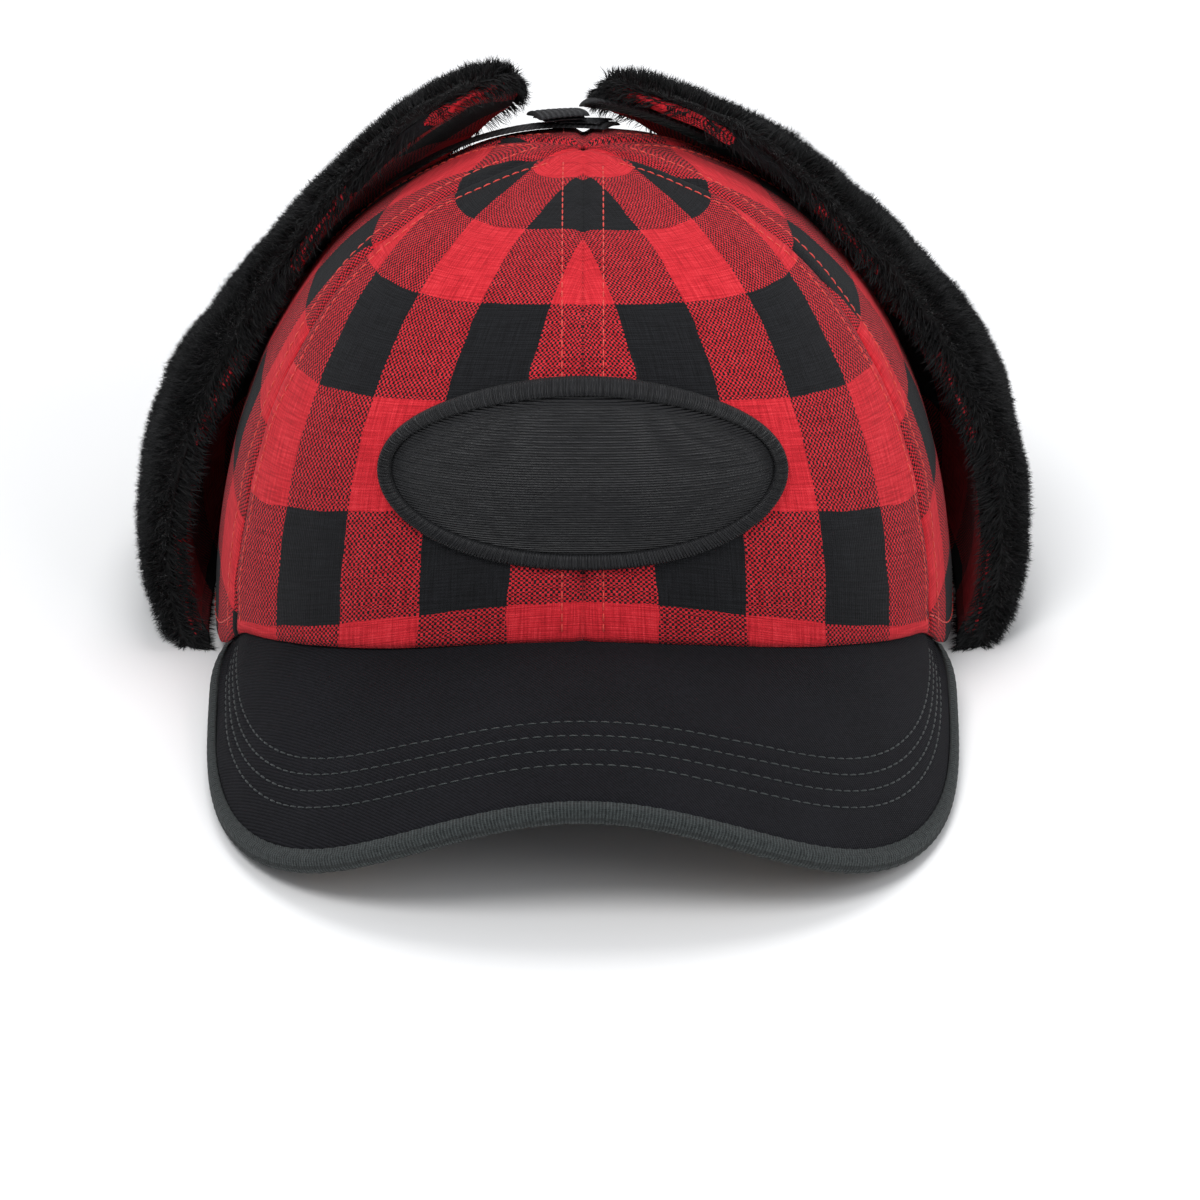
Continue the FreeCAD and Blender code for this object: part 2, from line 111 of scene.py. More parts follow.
class Nodes:
    """Short calls for a material's node tree."""

    def __init__(self, name):
        self.material = bpy.data.materials.new(name)
        self.material.use_nodes = True
        self.tree = self.material.node_tree
        self.shader = self.tree.nodes["Principled BSDF"]

    def add(self, kind, inputs=(), **settings):
        node = self.tree.nodes.new(kind)
        for key, value in settings.items():
            setattr(node, key, value)
        for key, value in dict(inputs).items():
            self.feed(node.inputs[key], value)
        return node

    def feed(self, socket, value):
        if isinstance(value, bpy.types.NodeSocket):
            self.tree.links.new(value, socket)
        else:
            socket.default_value = value

    def math(self, operation, a, b=0.0):
        node = self.add("ShaderNodeMath", operation=operation)
        self.feed(node.inputs[0], a)
        self.feed(node.inputs[1], b)
        return node.outputs[0]

    def plus(self, a, b):
        return self.math("ADD", a, b)

    def minus(self, a, b):
        return self.math("SUBTRACT", a, b)

    def times(self, a, b):
        return self.math("MULTIPLY", a, b)

    def over(self, a, b):
        return self.math("DIVIDE", a, b)

    def below(self, a, b):
        return self.math("LESS_THAN", a, b)

    def sine(self, a):
        return self.math("SINE", a)

    def size(self, a):
        return self.math("ABSOLUTE", a)

    def part(self, a):
        return self.math("FRACT", a)

    def swing(self, noise, width):
        """Noise about zero, width from end to end."""
        return self.times(self.minus(noise, 0.5), width)

    def stretched(self, x, y, by_x, by_y):
        return self.vector(self.times(x, by_x), self.times(y, by_y))

    def mix(self, share, a, b, kind="RGBA"):
        inputs = {"Factor": share, "A": a, "B": b}
        return self.add("ShaderNodeMix", inputs, data_type=kind).outputs["Result"]

    def blend(self, share, a, b):
        return self.mix(share, a, b, "FLOAT")

    def place(self):
        """The object's own coordinates, in metres."""
        return self.add("ShaderNodeTexCoord").outputs["Object"]

    def cloth(self):
        """(across, along) on the flat cloth, in millimetres, from the piece's UV map."""
        uv = self.add("ShaderNodeUVMap", uv_map="cloth").outputs["UV"]
        parts = self.add("ShaderNodeSeparateXYZ", {"Vector": uv})
        return parts.outputs["X"], parts.outputs["Y"]

    def vector(self, x, y, z=0.0):
        return self.add("ShaderNodeCombineXYZ", {"X": x, "Y": y, "Z": z}).outputs[0]

    def noise(self, where, scale, detail=3.0, rough=0.55):
        node = self.add(
            "ShaderNodeTexNoise",
            {"Vector": where, "Scale": scale, "Detail": detail, "Roughness": rough},
        )
        return node.outputs["Fac"]

    def ramp(self, share, *stops):
        node = self.add("ShaderNodeValToRGB", {"Fac": share})
        while len(node.color_ramp.elements) < len(stops):
            node.color_ramp.elements.new(0.5)
        for element, (at, colour) in zip(node.color_ramp.elements, stops):
            element.position, element.color = at, (*colour, 1)
        return node.outputs["Color"]

    def bump(self, height, distance, strength=1.0):
        node = self.add("ShaderNodeBump", {"Height": height, "Distance": distance})
        node.inputs["Strength"].default_value = strength
        self.tree.links.new(node.outputs["Normal"], self.shader.inputs["Normal"])

    def finish(self, colour, rough, sheen=0.0, sheen_rough=0.5, specular=0.4):
        self.feed(self.shader.inputs["Base Color"], colour)
        self.feed(self.shader.inputs["Roughness"], rough)
        self.shader.inputs["Sheen Weight"].default_value = sheen
        self.shader.inputs["Sheen Roughness"].default_value = sheen_rough
        self.shader.inputs["Specular IOR Level"].default_value = specular
        return self.material


TAU = 2 * math.pi

# ------------------------------------------------------------------ materials

CHECK_ACROSS = 41.4  # one black and one red stripe
CHECK_ALONG = 48.0
THREAD_ACROSS = 0.62
THREAD_ALONG = 0.55
PRINT_THREAD = 0.8
BUCKRAM_THREAD = 0.0014  # in metres
WEBBING_RIB = 1.3


def check_cloth():
    """Buffalo check as it is woven: each thread is red or black, and a plain weave shows
    warp and weft in turn, so the half-tone squares come from the threads."""
    n = Nodes("check_cloth")
    across, along = n.cloth()
    wander = n.noise(n.vector(across, along), 0.09, 2.0)
    across_w = n.plus(across, n.swing(wander, 2.2))
    along_w = n.plus(along, n.swing(wander, 1.6))
    warp = n.part(n.over(across_w, CHECK_ACROSS))
    weft = n.part(n.over(along_w, CHECK_ALONG))
    warp_black = n.below(warp, 0.5)
    weft_black = n.below(weft, 0.5)
    fine = n.noise(n.stretched(across, along, 0.5, 1.6), 0.9, 2.0)
    jitter = n.swing(fine, 0.9)
    slow = n.noise(n.stretched(across, along, 0.22, 0.7), 1.0, 2.0)
    drift = n.swing(slow, 2.4)
    checker = n.add(
        "ShaderNodeTexChecker",
        {
            "Vector": n.vector(
                n.plus(n.over(across, THREAD_ACROSS), jitter),
                n.plus(n.over(along, THREAD_ALONG), drift),
            ),
            "Scale": 1.0,
        },
    ).outputs["Fac"]
    black = n.blend(checker, warp_black, weft_black)
    weft_rows = n.noise(n.stretched(across, along, 0.10, 2.4), 1.0, 2.0)
    warp_rows = n.noise(n.stretched(across, along, 2.4, 0.10), 1.0, 2.0)
    slub = n.times(weft_rows, warp_rows)
    red = n.ramp(slub, (0.08, (0.30, 0.008, 0.013)), (0.26, (0.56, 0.018, 0.028)),
                 (0.46, (0.74, 0.046, 0.058)))
    dark = n.ramp(slub, (0.08, (0.0035, 0.0035, 0.004)), (0.42, (0.013, 0.0135, 0.0155)))
    colour = n.mix(black, red, dark)
    ribs = n.plus(
        n.size(n.sine(n.times(across, math.pi / THREAD_ACROSS))),
        n.size(n.sine(n.times(along, math.pi / THREAD_ALONG))),
    )
    fuzz = n.noise(n.place(), 1400.0, 2.0)
    n.bump(n.plus(n.times(ribs, 0.35), fuzz), 0.00022, 0.7)
    return n.finish(colour, 0.9, sheen=0.035, sheen_rough=0.6, specular=0.1)


def twill(name, dark, light, rib=0.85, sheen=0.02):
    """Diagonal ribs, each rib broken by its threads."""
    n = Nodes(name)
    across, along = n.cloth()
    slant = n.plus(across, n.times(along, 0.8))
    rib_wave = n.sine(n.times(slant, TAU / rib))
    thread = n.sine(n.times(n.minus(across, along), TAU / (rib * 0.8)))
    height = n.plus(n.times(rib_wave, 0.6), n.times(thread, 0.25))
    lint = n.noise(n.place(), 900.0, 4.0)
    wear = n.noise(n.place(), 35.0, 3.0)
    share = n.plus(n.times(rib_wave, 0.16), n.times(lint, 0.55))
    share = n.plus(share, n.times(wear, 0.35))
    colour = n.ramp(share, (0.2, dark), (0.85, light))
    n.bump(n.plus(height, lint), 0.00025, 0.6)
    return n.finish(colour, 0.86, sheen=sheen, sheen_rough=0.5, specular=0.08)


def ribbed_tape(name, dark, light, rib, across_ribs=True):
    """Woven tape with ribs across its length."""
    n = Nodes(name)
    across, along = n.cloth()
    ribs = n.sine(n.times(along if across_ribs else across, TAU / rib))
    grain = n.sine(n.times(across if across_ribs else along, TAU / (rib * 0.7)))
    lint = n.noise(n.place(), 1100.0, 3.0)
    height = n.plus(ribs, n.times(grain, 0.4))
    share = n.plus(n.times(ribs, 0.22), n.times(lint, 0.9))
    colour = n.ramp(share, (0.15, dark), (0.8, light))
    n.bump(height, 0.0003, 0.8)
    return n.finish(colour, 0.72, sheen=0.04, specular=0.18)


def printed_cloth():
    """A woodland print of its own: rounded log shapes with grain, in dark gaps."""
    n = Nodes("printed_cloth")
    across, along = n.cloth()
    where = n.stretched(across, along, 0.022, 0.055)
    warp = n.noise(where, 2.2, 2.0)
    bent = n.add(
        "ShaderNodeVectorMath",
        {0: where, 1: n.stretched(warp, warp, 0.5, 0.7)},
        operation="ADD",
    ).outputs[0]
    cells = n.add("ShaderNodeTexVoronoi", {"Vector": bent, "Scale": 1.5, "Randomness": 0.85})
    edge = n.add(
        "ShaderNodeTexVoronoi",
        {"Vector": bent, "Scale": 1.5, "Randomness": 0.85},
        feature="DISTANCE_TO_EDGE",
    ).outputs["Distance"]
    tint = n.add("ShaderNodeSeparateColor", {"Color": cells.outputs["Color"]}).outputs["Red"]
    grain = n.noise(n.stretched(across, along, 0.05, 0.9), 1.6, 5.0, 0.7)
    tan = n.ramp(grain, (0.30, (0.10, 0.055, 0.022)), (0.50, (0.34, 0.215, 0.105)),
                 (0.72, (0.52, 0.37, 0.205)))
    brown = n.ramp(grain, (0.30, (0.028, 0.015, 0.008)), (0.70, (0.13, 0.070, 0.032)))
    log = n.mix(n.math("GREATER_THAN", tint, 0.42), brown, tan)
    gap = n.ramp(grain, (0.35, (0.010, 0.010, 0.009)), (0.7, (0.045, 0.035, 0.028)))
    shown = n.mix(n.math("GREATER_THAN", edge, 0.055), gap, log)
    dark_cell = n.below(tint, 0.2)
    colour = n.mix(dark_cell, shown, gap)
    warps, wefts = (n.sine(n.times(way, TAU / PRINT_THREAD)) for way in (across, along))
    weave = n.times(warps, wefts)
    n.bump(weave, 0.0002, 0.5)
    return n.finish(colour, 0.75, sheen=0.08, specular=0.25)


def thread(name, dark, light, rough=0.5):
    """Twisted sewing thread."""
    n = Nodes(name)
    twist = n.noise(n.place(), 2600.0, 2.0)
    colour = n.ramp(twist, (0.25, dark), (0.75, light))
    n.bump(twist, 0.00012, 0.6)
    return n.finish(colour, rough, sheen=0.15, specular=0.45)


def embroidery(name, pitch, lengthwise):
    """Rows of satin thread, which catch the light in streaks."""
    n = Nodes(name)
    across, along = n.cloth()
    run, cross = (along, across) if lengthwise else (across, along)
    rows = n.sine(n.times(cross, TAU / pitch))
    streak = n.noise(n.stretched(run, cross, 0.22, 2.6), 1.0, 3.0)
    share = n.plus(n.times(rows, 0.18), streak)
    colour = n.ramp(share, (0.25, (0.0025, 0.0025, 0.003)), (0.8, (0.013, 0.0135, 0.0155)))
    n.bump(n.plus(n.times(rows, 0.6), streak), 0.0003, 0.8)
    return n.finish(colour, 0.46, sheen=0.03, specular=0.32)


def plush():
    """Short black pile: near-black roots and grey-black tips, each strand its own shade."""
    n = Nodes("plush")
    across, along = n.cloth()  # across is the strand's own number, along runs root to tip
    mottle = n.noise(n.place(), 55.0, 3.0)
    share = n.plus(n.times(along, 0.55), n.times(across, 0.3))
    share = n.plus(share, n.swing(mottle, 0.5))
    colour = n.ramp(share, (0.0, (0.0012, 0.0012, 0.0014)), (0.45, (0.0040, 0.0042, 0.0045)),
                    (1.0, (0.0170, 0.0176, 0.0190)))
    return n.finish(colour, 0.6, sheen=0.10, sheen_rough=0.35, specular=0.22)


def buckram():
    n = Nodes("buckram")
    parts = n.add("ShaderNodeSeparateXYZ", {"Vector": n.place()})
    x, z = (n.sine(n.times(parts.outputs[axis], TAU / BUCKRAM_THREAD)) for axis in "XZ")
    weave = n.times(x, z)
    blot = n.noise(n.place(), 60.0, 4.0)
    colour = n.ramp(n.plus(n.times(weave, 0.25), blot),
                    (0.2, (0.020, 0.020, 0.022)), (0.8, (0.055, 0.055, 0.058)))
    n.bump(weave, 0.0003, 0.7)
    return n.finish(colour, 0.8, specular=0.25)


def hook_tape(name, pitch):
    n = Nodes(name)
    dots = n.add("ShaderNodeTexVoronoi", {"Vector": n.place(), "Scale": 1 / (pitch * MM)})
    colour = n.ramp(dots.outputs["Distance"], (0.1, (0.035, 0.036, 0.04)),
                    (0.7, (0.006, 0.006, 0.007)))
    n.bump(n.times(dots.outputs["Distance"], -1.0), 0.0005, 1.0)
    return n.finish(colour, 0.6, specular=0.35)


CHECK = check_cloth()
BRIM_TWILL = twill("brim_twill", (0.0035, 0.0035, 0.0045), (0.0125, 0.0125, 0.016))
BAND_TWILL = twill("band_twill", (0.004, 0.004, 0.005), (0.016, 0.016, 0.018), rib=0.7)
# the edge tape's light grey is partly painted highlight: the lighter look of the brim's edge where it
# faces the light, on a ribbed tape of its own
EDGE_TAPE = ribbed_tape("edge_tape", (0.012, 0.015, 0.015), (0.060, 0.070, 0.070), 0.8)
WEBBING = ribbed_tape("webbing", (0.006, 0.006, 0.007), (0.032, 0.032, 0.035), WEBBING_RIB)
SEAM_TAPE = ribbed_tape("seam_tape", (0.006, 0.006, 0.007), (0.026, 0.026, 0.028), 0.9)
PRINT = printed_cloth()
RED_THREAD = thread("red_thread", (0.46, 0.020, 0.014), (0.78, 0.060, 0.040))
GREEN_THREAD = thread("grey_green_thread", (0.006, 0.010, 0.010), (0.018, 0.026, 0.026))
BLACK_THREAD = thread("black_thread", (0.006, 0.006, 0.007), (0.030, 0.030, 0.033))
FILL_STITCH = embroidery("fill_stitch", 0.55, False)
BORDER_STITCH = embroidery("border_stitch", 0.5, False)
PLUSH = plush()
BUCKRAM = buckram()
HOOKS = hook_tape("hooks", 0.9)
LOOPS = hook_tape("loops", 0.6)

# ------------------------------------------------------------------ mesh helpers


def mixed(a, b, share):
    return a + (b - a) * share


def bell(distance, width):
    return np.exp(-((distance / width) ** 2))


def unit(vectors):
    return vectors / np.maximum(np.linalg.norm(vectors, axis=-1, keepdims=True), 1e-12)


def facing(vectors, way):
    """The vectors, each turned to the side that way points to."""
    return vectors * np.sign((vectors * way).sum(-1, keepdims=True))


def travelled(points, axis=0):
    """How far along one axis of a grid, or along a path, each point lies."""
    legs = np.linalg.norm(np.diff(points, axis=axis), axis=-1)
    return np.insert(np.cumsum(legs, axis=axis), 0, 0, axis=axis)


LATTICE = np.random.default_rng(11).random((24, 24, 24))


def lumps(points, size, shift=0):
    """Smooth noise from -1 to 1, with features about size across."""
    at = points / size + 101.3 + 17.7 * shift
    cell = np.floor(at).astype(int)
    part = at - cell
    part = part * part * (3 - 2 * part)
    total = 0.0
    for dx in (0, 1):
        for dy in (0, 1):
            for dz in (0, 1):
                value = LATTICE[
                    (cell[..., 0] + dx) % 24, (cell[..., 1] + dy) % 24, (cell[..., 2] + dz) % 24
                ]
                weight = (
                    (part[..., 0] if dx else 1 - part[..., 0])
                    * (part[..., 1] if dy else 1 - part[..., 1])
                    * (part[..., 2] if dz else 1 - part[..., 2])
                )
                total = total + value * weight
    return 2 * total - 1


def grid_normals(points):
    along_rows = np.gradient(points, axis=0)
    along_columns = np.gradient(points, axis=1)
    return unit(np.cross(along_rows, along_columns))


def grid_faces(rows, columns, start=0, flip=False):
    r, c = np.meshgrid(np.arange(rows - 1), np.arange(columns - 1), indexing="ij")
    a = (r * columns + c).ravel() + start
    faces = np.stack([a, a + 1, a + columns + 1, a + columns], axis=1)
    return faces[:, ::-1] if flip else faces


def mesh_object(name, vertices, loops, sizes, uv, material):
    """A mesh object from millimetre vertices; uv holds one pair for each vertex."""
    data = bpy.data.meshes.new(name)
    data.vertices.add(len(vertices))
    data.vertices.foreach_set("co", (vertices * MM).ravel())
    data.loops.add(len(loops))
    data.loops.foreach_set("vertex_index", loops.astype(np.int32))
    data.polygons.add(len(sizes))
    starts = np.concatenate([[0], np.cumsum(sizes)[:-1]])
    data.polygons.foreach_set("loop_start", starts.astype(np.int32))
    data.update(calc_edges=True)
    layer = data.uv_layers.new(name="cloth")
    layer.data.foreach_set("uv", uv[loops].astype(np.float32).ravel())
    data.materials.append(material)
    made = bpy.data.objects.new(name, data)
    bpy.context.scene.collection.objects.link(made)
    return made


def make_object(name, vertices, faces, uv, material):
    """A smooth mesh from an array of quads, or from a list of faces of any size."""
    sizes = np.array([len(face) for face in faces])
    loops = np.concatenate([np.asarray(face) for face in faces])
    made = mesh_object(name, vertices, loops, sizes, uv, material)
    made.data.polygons.foreach_set("use_smooth", np.full(len(sizes), True))
    made.data.validate()
    return made


def slab_faces(rows, columns, start=0):
    """The faces of a closed sheet: an outer grid, an inner grid after it, and four rims."""
    count = rows * columns
    faces = [grid_faces(rows, columns, start), grid_faces(rows, columns, start + count, flip=True)]
    ids = np.arange(count).reshape(rows, columns) + start
    for line, turned in ((ids[0], False), (ids[-1], True), (ids[:, 0], True), (ids[:, -1], False)):
        quad = np.stack([line[:-1], line[:-1] + count, line[1:] + count, line[1:]], axis=1)
        faces.append(quad[:, ::-1] if turned else quad)
    return np.concatenate(faces)


def slab(name, outer, inner, uv, material):
    """A closed sheet from its outer and inner grids of points."""
    vertices = np.concatenate([outer.reshape(-1, 3), inner.reshape(-1, 3)])
    flat_uv = uv.reshape(-1, 2)
    faces = slab_faces(*outer.shape[:2])
    return make_object(name, vertices, faces, np.concatenate([flat_uv, flat_uv]), material)


def tube_from_rings(name, rings, uv, material, closed_path=False):
    """A surface from rings of points: rings[path, round, xyz], with caps on an open path."""
    length, around = rings.shape[:2]
    ids = np.arange(length * around).reshape(length, around)
    after = np.roll(ids, -1, axis=1)
    if closed_path:
        follow, follow_after = np.roll(ids, -1, axis=0), np.roll(after, -1, axis=0)
    else:
        follow, follow_after = ids[1:], after[1:]
        ids, after = ids[:-1], after[:-1]
    quads = np.stack([ids, after, follow_after, follow], axis=-1).reshape(-1, 4)
    faces = [list(q) for q in quads]
    if not closed_path:
        faces.append(list(range(around))[::-1])
        faces.append([(length - 1) * around + i for i in range(around)])
    return make_object(name, rings.reshape(-1, 3), faces, uv.reshape(-1, 2), material)


def resample(path, spacing):
    """Points along a path at even spacing."""
    total = travelled(path)
    at = np.arange(0, total[-1], spacing)
    return np.stack([np.interp(at, total, path[:, k]) for k in range(3)], axis=1)


STITCH_SIDES = 6
STITCH_PROFILE = ((0.0, 0.15), (0.14, 0.8), (0.5, 1.0), (0.86, 0.8), (1.0, 0.15))


def nearest(values, path, places):
    gaps = np.linalg.norm(path[None, :, :] - places[:, None, :], axis=2)
    return values[np.argmin(gaps, axis=1)]


def stitches(name, lines, material, pitch=2.9, length=2.3, radius=0.24, lift=0.12):
    """Rows of raised stitches, all made together from each line's path and normals."""
    starts, forwards, tops = [], [], []
    for path, normals in lines:
        points = resample(path, pitch)
        if len(points) < 2:
            continue
        starts.append(points[:-1])
        forwards.append(unit(np.diff(points, axis=0)))
        tops.append(unit(nearest(normals, path, points[:-1])))
    a, f, t = np.concatenate(starts), np.concatenate(forwards), np.concatenate(tops)
    s = unit(np.cross(f, t))
    t = np.cross(s, f)
    turn = np.arange(STITCH_SIDES) * TAU / STITCH_SIDES
    rings = []
    for share, size in STITCH_PROFILE:
        centre = a + f * (length * share) + t * (math.sin(math.pi * share) * lift)
        round_it = np.cos(turn)[:, None] * s[:, None, :] + np.sin(turn)[:, None] * t[:, None, :]
        rings.append(centre[:, None, :] + radius * size * round_it)
    points = np.stack(rings, axis=1)  # stitch, ring, side, xyz
    count, ring_count = points.shape[:2]
    ids = np.arange(count * ring_count * STITCH_SIDES).reshape(count, ring_count, STITCH_SIDES)
    after = np.roll(ids, -1, axis=2)
    quads = np.stack(
        [ids[:, :-1], after[:, :-1], after[:, 1:], ids[:, 1:]], axis=-1
    ).reshape(-1, 4)
    faces = [list(q) for q in quads]
    faces += [list(r[::-1]) for r in ids[:, 0]]
    faces += [list(r) for r in ids[:, -1]]
    flat = points.reshape(-1, 3)
    return make_object(name, flat, faces, np.zeros((len(flat), 2)), material)


# ------------------------------------------------------------------ the crown's form, as in the CAD

HALF_WIDTH, HALF_LENGTH, HEIGHT = 89.0, 99.0, 123.0
PLAN_POWER, REAR_POWER, FRONT_POWER, FRONT_SHARE_POWER = 2.6, 1.7, 3.1, 1.5
HEM_FRONT, HEM_BASE, HEM_BEND_POWER = 41.0, 3.0, 1.3
HEM_RISE_TURN, HEM_RISE = math.radians(80.0), math.radians(25.0)
CLOTH = 1.0
GORE = math.radians(60.0)


def plan_radius(turn):
    across = np.abs(np.sin(turn)) / HALF_WIDTH
    along = np.abs(np.cos(turn)) / HALF_LENGTH
    return (across**PLAN_POWER + along**PLAN_POWER) ** (-1 / PLAN_POWER)


def meridian_power(turn):
    return REAR_POWER + (FRONT_POWER - REAR_POWER) * ((1 + np.cos(turn)) / 2) ** FRONT_SHARE_POWER


def radius_at(turn, z, inset=0.0):
    power = meridian_power(turn)
    share = np.maximum(0.0, 1 - np.abs(z / (HEIGHT - inset)) ** power)
    return (plan_radius(turn) - inset) * share ** (1 / power)


def at_turn(turn, radius, z):
    turn, radius, z = np.broadcast_arrays(turn, radius, z)
    return np.stack([radius * np.sin(turn), -radius * np.cos(turn), z], axis=-1)


def hem_height(turn):
    ahead = np.maximum(np.cos(turn), 0.0) ** HEM_BEND_POWER
    away = np.abs(np.arctan2(np.sin(turn), np.cos(turn)))
    share = np.clip((HEM_RISE_TURN - away) / HEM_RISE, 0, 1)
    return HEM_BASE + (HEM_FRONT - HEM_BASE) * ahead * share**2 * (3 - 2 * share)


def climb_of_height(turn, z):
    return np.arctan2(z, radius_at(turn, z))


def climb_of_radius(turn, radius):
    power = meridian_power(turn)
    z = HEIGHT * (1 - (radius / plan_radius(turn)) ** power) ** (1 / power)
    return np.arctan2(z, radius)


def on_meridian(turn, climb, inset=0.0):
    power = meridian_power(turn)
    level = np.cos(climb) / (plan_radius(turn) - inset)
    upright = np.sin(climb) / (HEIGHT - inset)
    reach = (level**power + upright**power) ** (-1 / power)
    return at_turn(turn, reach * np.cos(climb), reach * np.sin(climb))


def crown_reach(centre, ray):
    low = np.zeros(centre.shape[:-1])
    high = np.full(centre.shape[:-1], 2 * HEIGHT)
    for _ in range(34):
        middle = (low + high) / 2
        point = centre + ray * middle[..., None]
        turn = np.arctan2(point[..., 0], -point[..., 1])
        power = meridian_power(turn)
        flat = np.hypot(point[..., 0], point[..., 1]) / plan_radius(turn)
        inside = flat**power + (np.abs(point[..., 2]) / HEIGHT) ** power < 1
        low = np.where(inside, middle, low)
        high = np.where(inside, high, middle)
    return low


# ------------------------------------------------------------------ crown

SEAM_TURNS = [k * GORE for k in range(6)]
GORE_NAMES = ("front_left", "side_left", "rear_left", "rear_right", "side_right", "front_right")
GORE_ROWS, GORE_COLUMNS = 150, 76
SEAM_DEPTH, SEAM_SOFTNESS = 0.9, 1.5
ROW_PHASE = 38.0  # the first black row begins 10 mm above the front hem
STRIPE_PHASE = 34.0


def check_map(across, along, stripe_phase, row_phase):
    """The check's map, moved on by whole repeats so that none of it is below zero."""
    return np.stack(
        [across + stripe_phase + CHECK_ACROSS * 4, along + row_phase + CHECK_ALONG * 4], -1
    )


def cloth_place(points, turn, first_turn):
    """Where each crown point lies on its flat gore: (across, along)."""
    centre = first_turn + GORE / 2
    radius = np.hypot(points[..., 0], points[..., 1])
    across = radius * (turn - centre)
    along = travelled(points) + points[:1, :, 2] - HEM_FRONT
    if math.cos(centre) > 0.5:  # the two front gores mirror each other
        across = across * math.copysign(1, math.sin(centre)) * (1 + 0.45 * (along / 100) ** 2)
        along = along + np.maximum(0.0036 - 0.00003 * along, 0.0006) * points[..., 0] ** 2
    else:
        along = along + 0.0016 * across**2
    return across, along


def puckered(points, across_edge, along):
    """The crown's surface as cloth: sunk at its seams, puckered beside them, softly uneven."""
    normals = facing(grid_normals(points), points)
    seam = bell(across_edge, SEAM_SOFTNESS)
    beside = bell(across_edge - 3.0, 5.0)
    ripple = lumps(np.stack([along, across_edge * 0.3, along * 0], -1), 6.0, 1)
    soft = lumps(points, 26.0, 2) * 0.55 + lumps(points, 11.0, 3) * 0.22
    lift = -SEAM_DEPTH * seam + 0.28 * ripple * beside + soft * (1 - seam)
    return points + normals * lift[..., None], normals


def crown_gore(number):
    first = number * GORE
    turns = np.linspace(first, first + GORE, GORE_COLUMNS)
    share = np.linspace(0, 1, GORE_ROWS)[:, None]
    low = climb_of_height(turns, hem_height(turns) + 0.2)[None, :]
    high = climb_of_radius(turns, 1.2)[None, :]
    climb = low + (high - low) * share**0.9
    turn = np.broadcast_to(turns, climb.shape)
    points = on_meridian(turn, climb)
    centre = first + GORE / 2
    radius = np.hypot(points[..., 0], points[..., 1])
    edge = radius * (GORE / 2 - np.abs(turn - centre))
    across, along = cloth_place(points, turn, first)
    outer, normals = puckered(points, edge, along)
    # the hem's fold rounds inwards
    from_hem = np.linalg.norm(points - points[:1], axis=-1)
    outer = outer - normals * (0.5 * bell(from_hem, 1.0))[..., None]
    inner = outer - normals * CLOTH
    uv = check_map(across, along, STRIPE_PHASE, ROW_PHASE)
    made = slab(f"{GORE_NAMES[number]}_gore", outer, inner, uv, CHECK)
    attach(made, "crown")
    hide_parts(f"{GORE_NAMES[number]}_panel")
    return outer, normals, edge


gores = [crown_gore(number) for number in range(6)]

TOPSTITCH_OFF = 4.8
HEM_STITCH_UP = 5.0


def crown_topstitch():
    """Two rows beside every seam, one on each gore."""
    lines = []
    half = GORE_COLUMNS // 2
    for points, normals, edge in gores:
        for columns in (np.arange(half), np.arange(GORE_COLUMNS - 1, half, -1)):
            path, tops = [], []
            for row in range(2, GORE_ROWS - 1):
                distances = edge[row, columns]
                at = np.interp(TOPSTITCH_OFF, distances, np.arange(len(columns)))
                if distances.max() < TOPSTITCH_OFF + 0.3:
                    break
                i = int(at)
                j = min(i + 1, len(columns) - 1)
                path.append(mixed(points[row, columns[i]], points[row, columns[j]], at - i))
                tops.append(normals[row, columns[i]])
            lines.append((np.array(path), np.array(tops)))
    made = stitches("crown_topstitch", lines, RED_THREAD,
                    pitch=2.6, length=2.1, radius=0.2, lift=0.14)
    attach(made, "crown")


def hem_stitch():
    """One row above the hem, except over the brim."""
    lines = []
    for points, normals, _ in gores[1:5]:
        heights = np.linalg.norm(points - points[:1], axis=-1)
        row = np.argmin(np.abs(heights - HEM_STITCH_UP), axis=0)
        columns = np.arange(points.shape[1])
        lines.append((points[row, columns], normals[row, columns]))
    made = stitches("hem_topstitch", lines, RED_THREAD, radius=0.2)
    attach(made, "crown")


crown_topstitch()
hem_stitch()

TAPE_INSET, TAPE_HALF, TAPE_THICK, TAPE_LENGTH = 2.1, 7.0, 0.5, 160
BAND_HEIGHT, BAND_INSET, BAND_RADIUS = 32.0, 2.85, 90
BAND_REAR_GAP = 0.007  # in radians, on each side


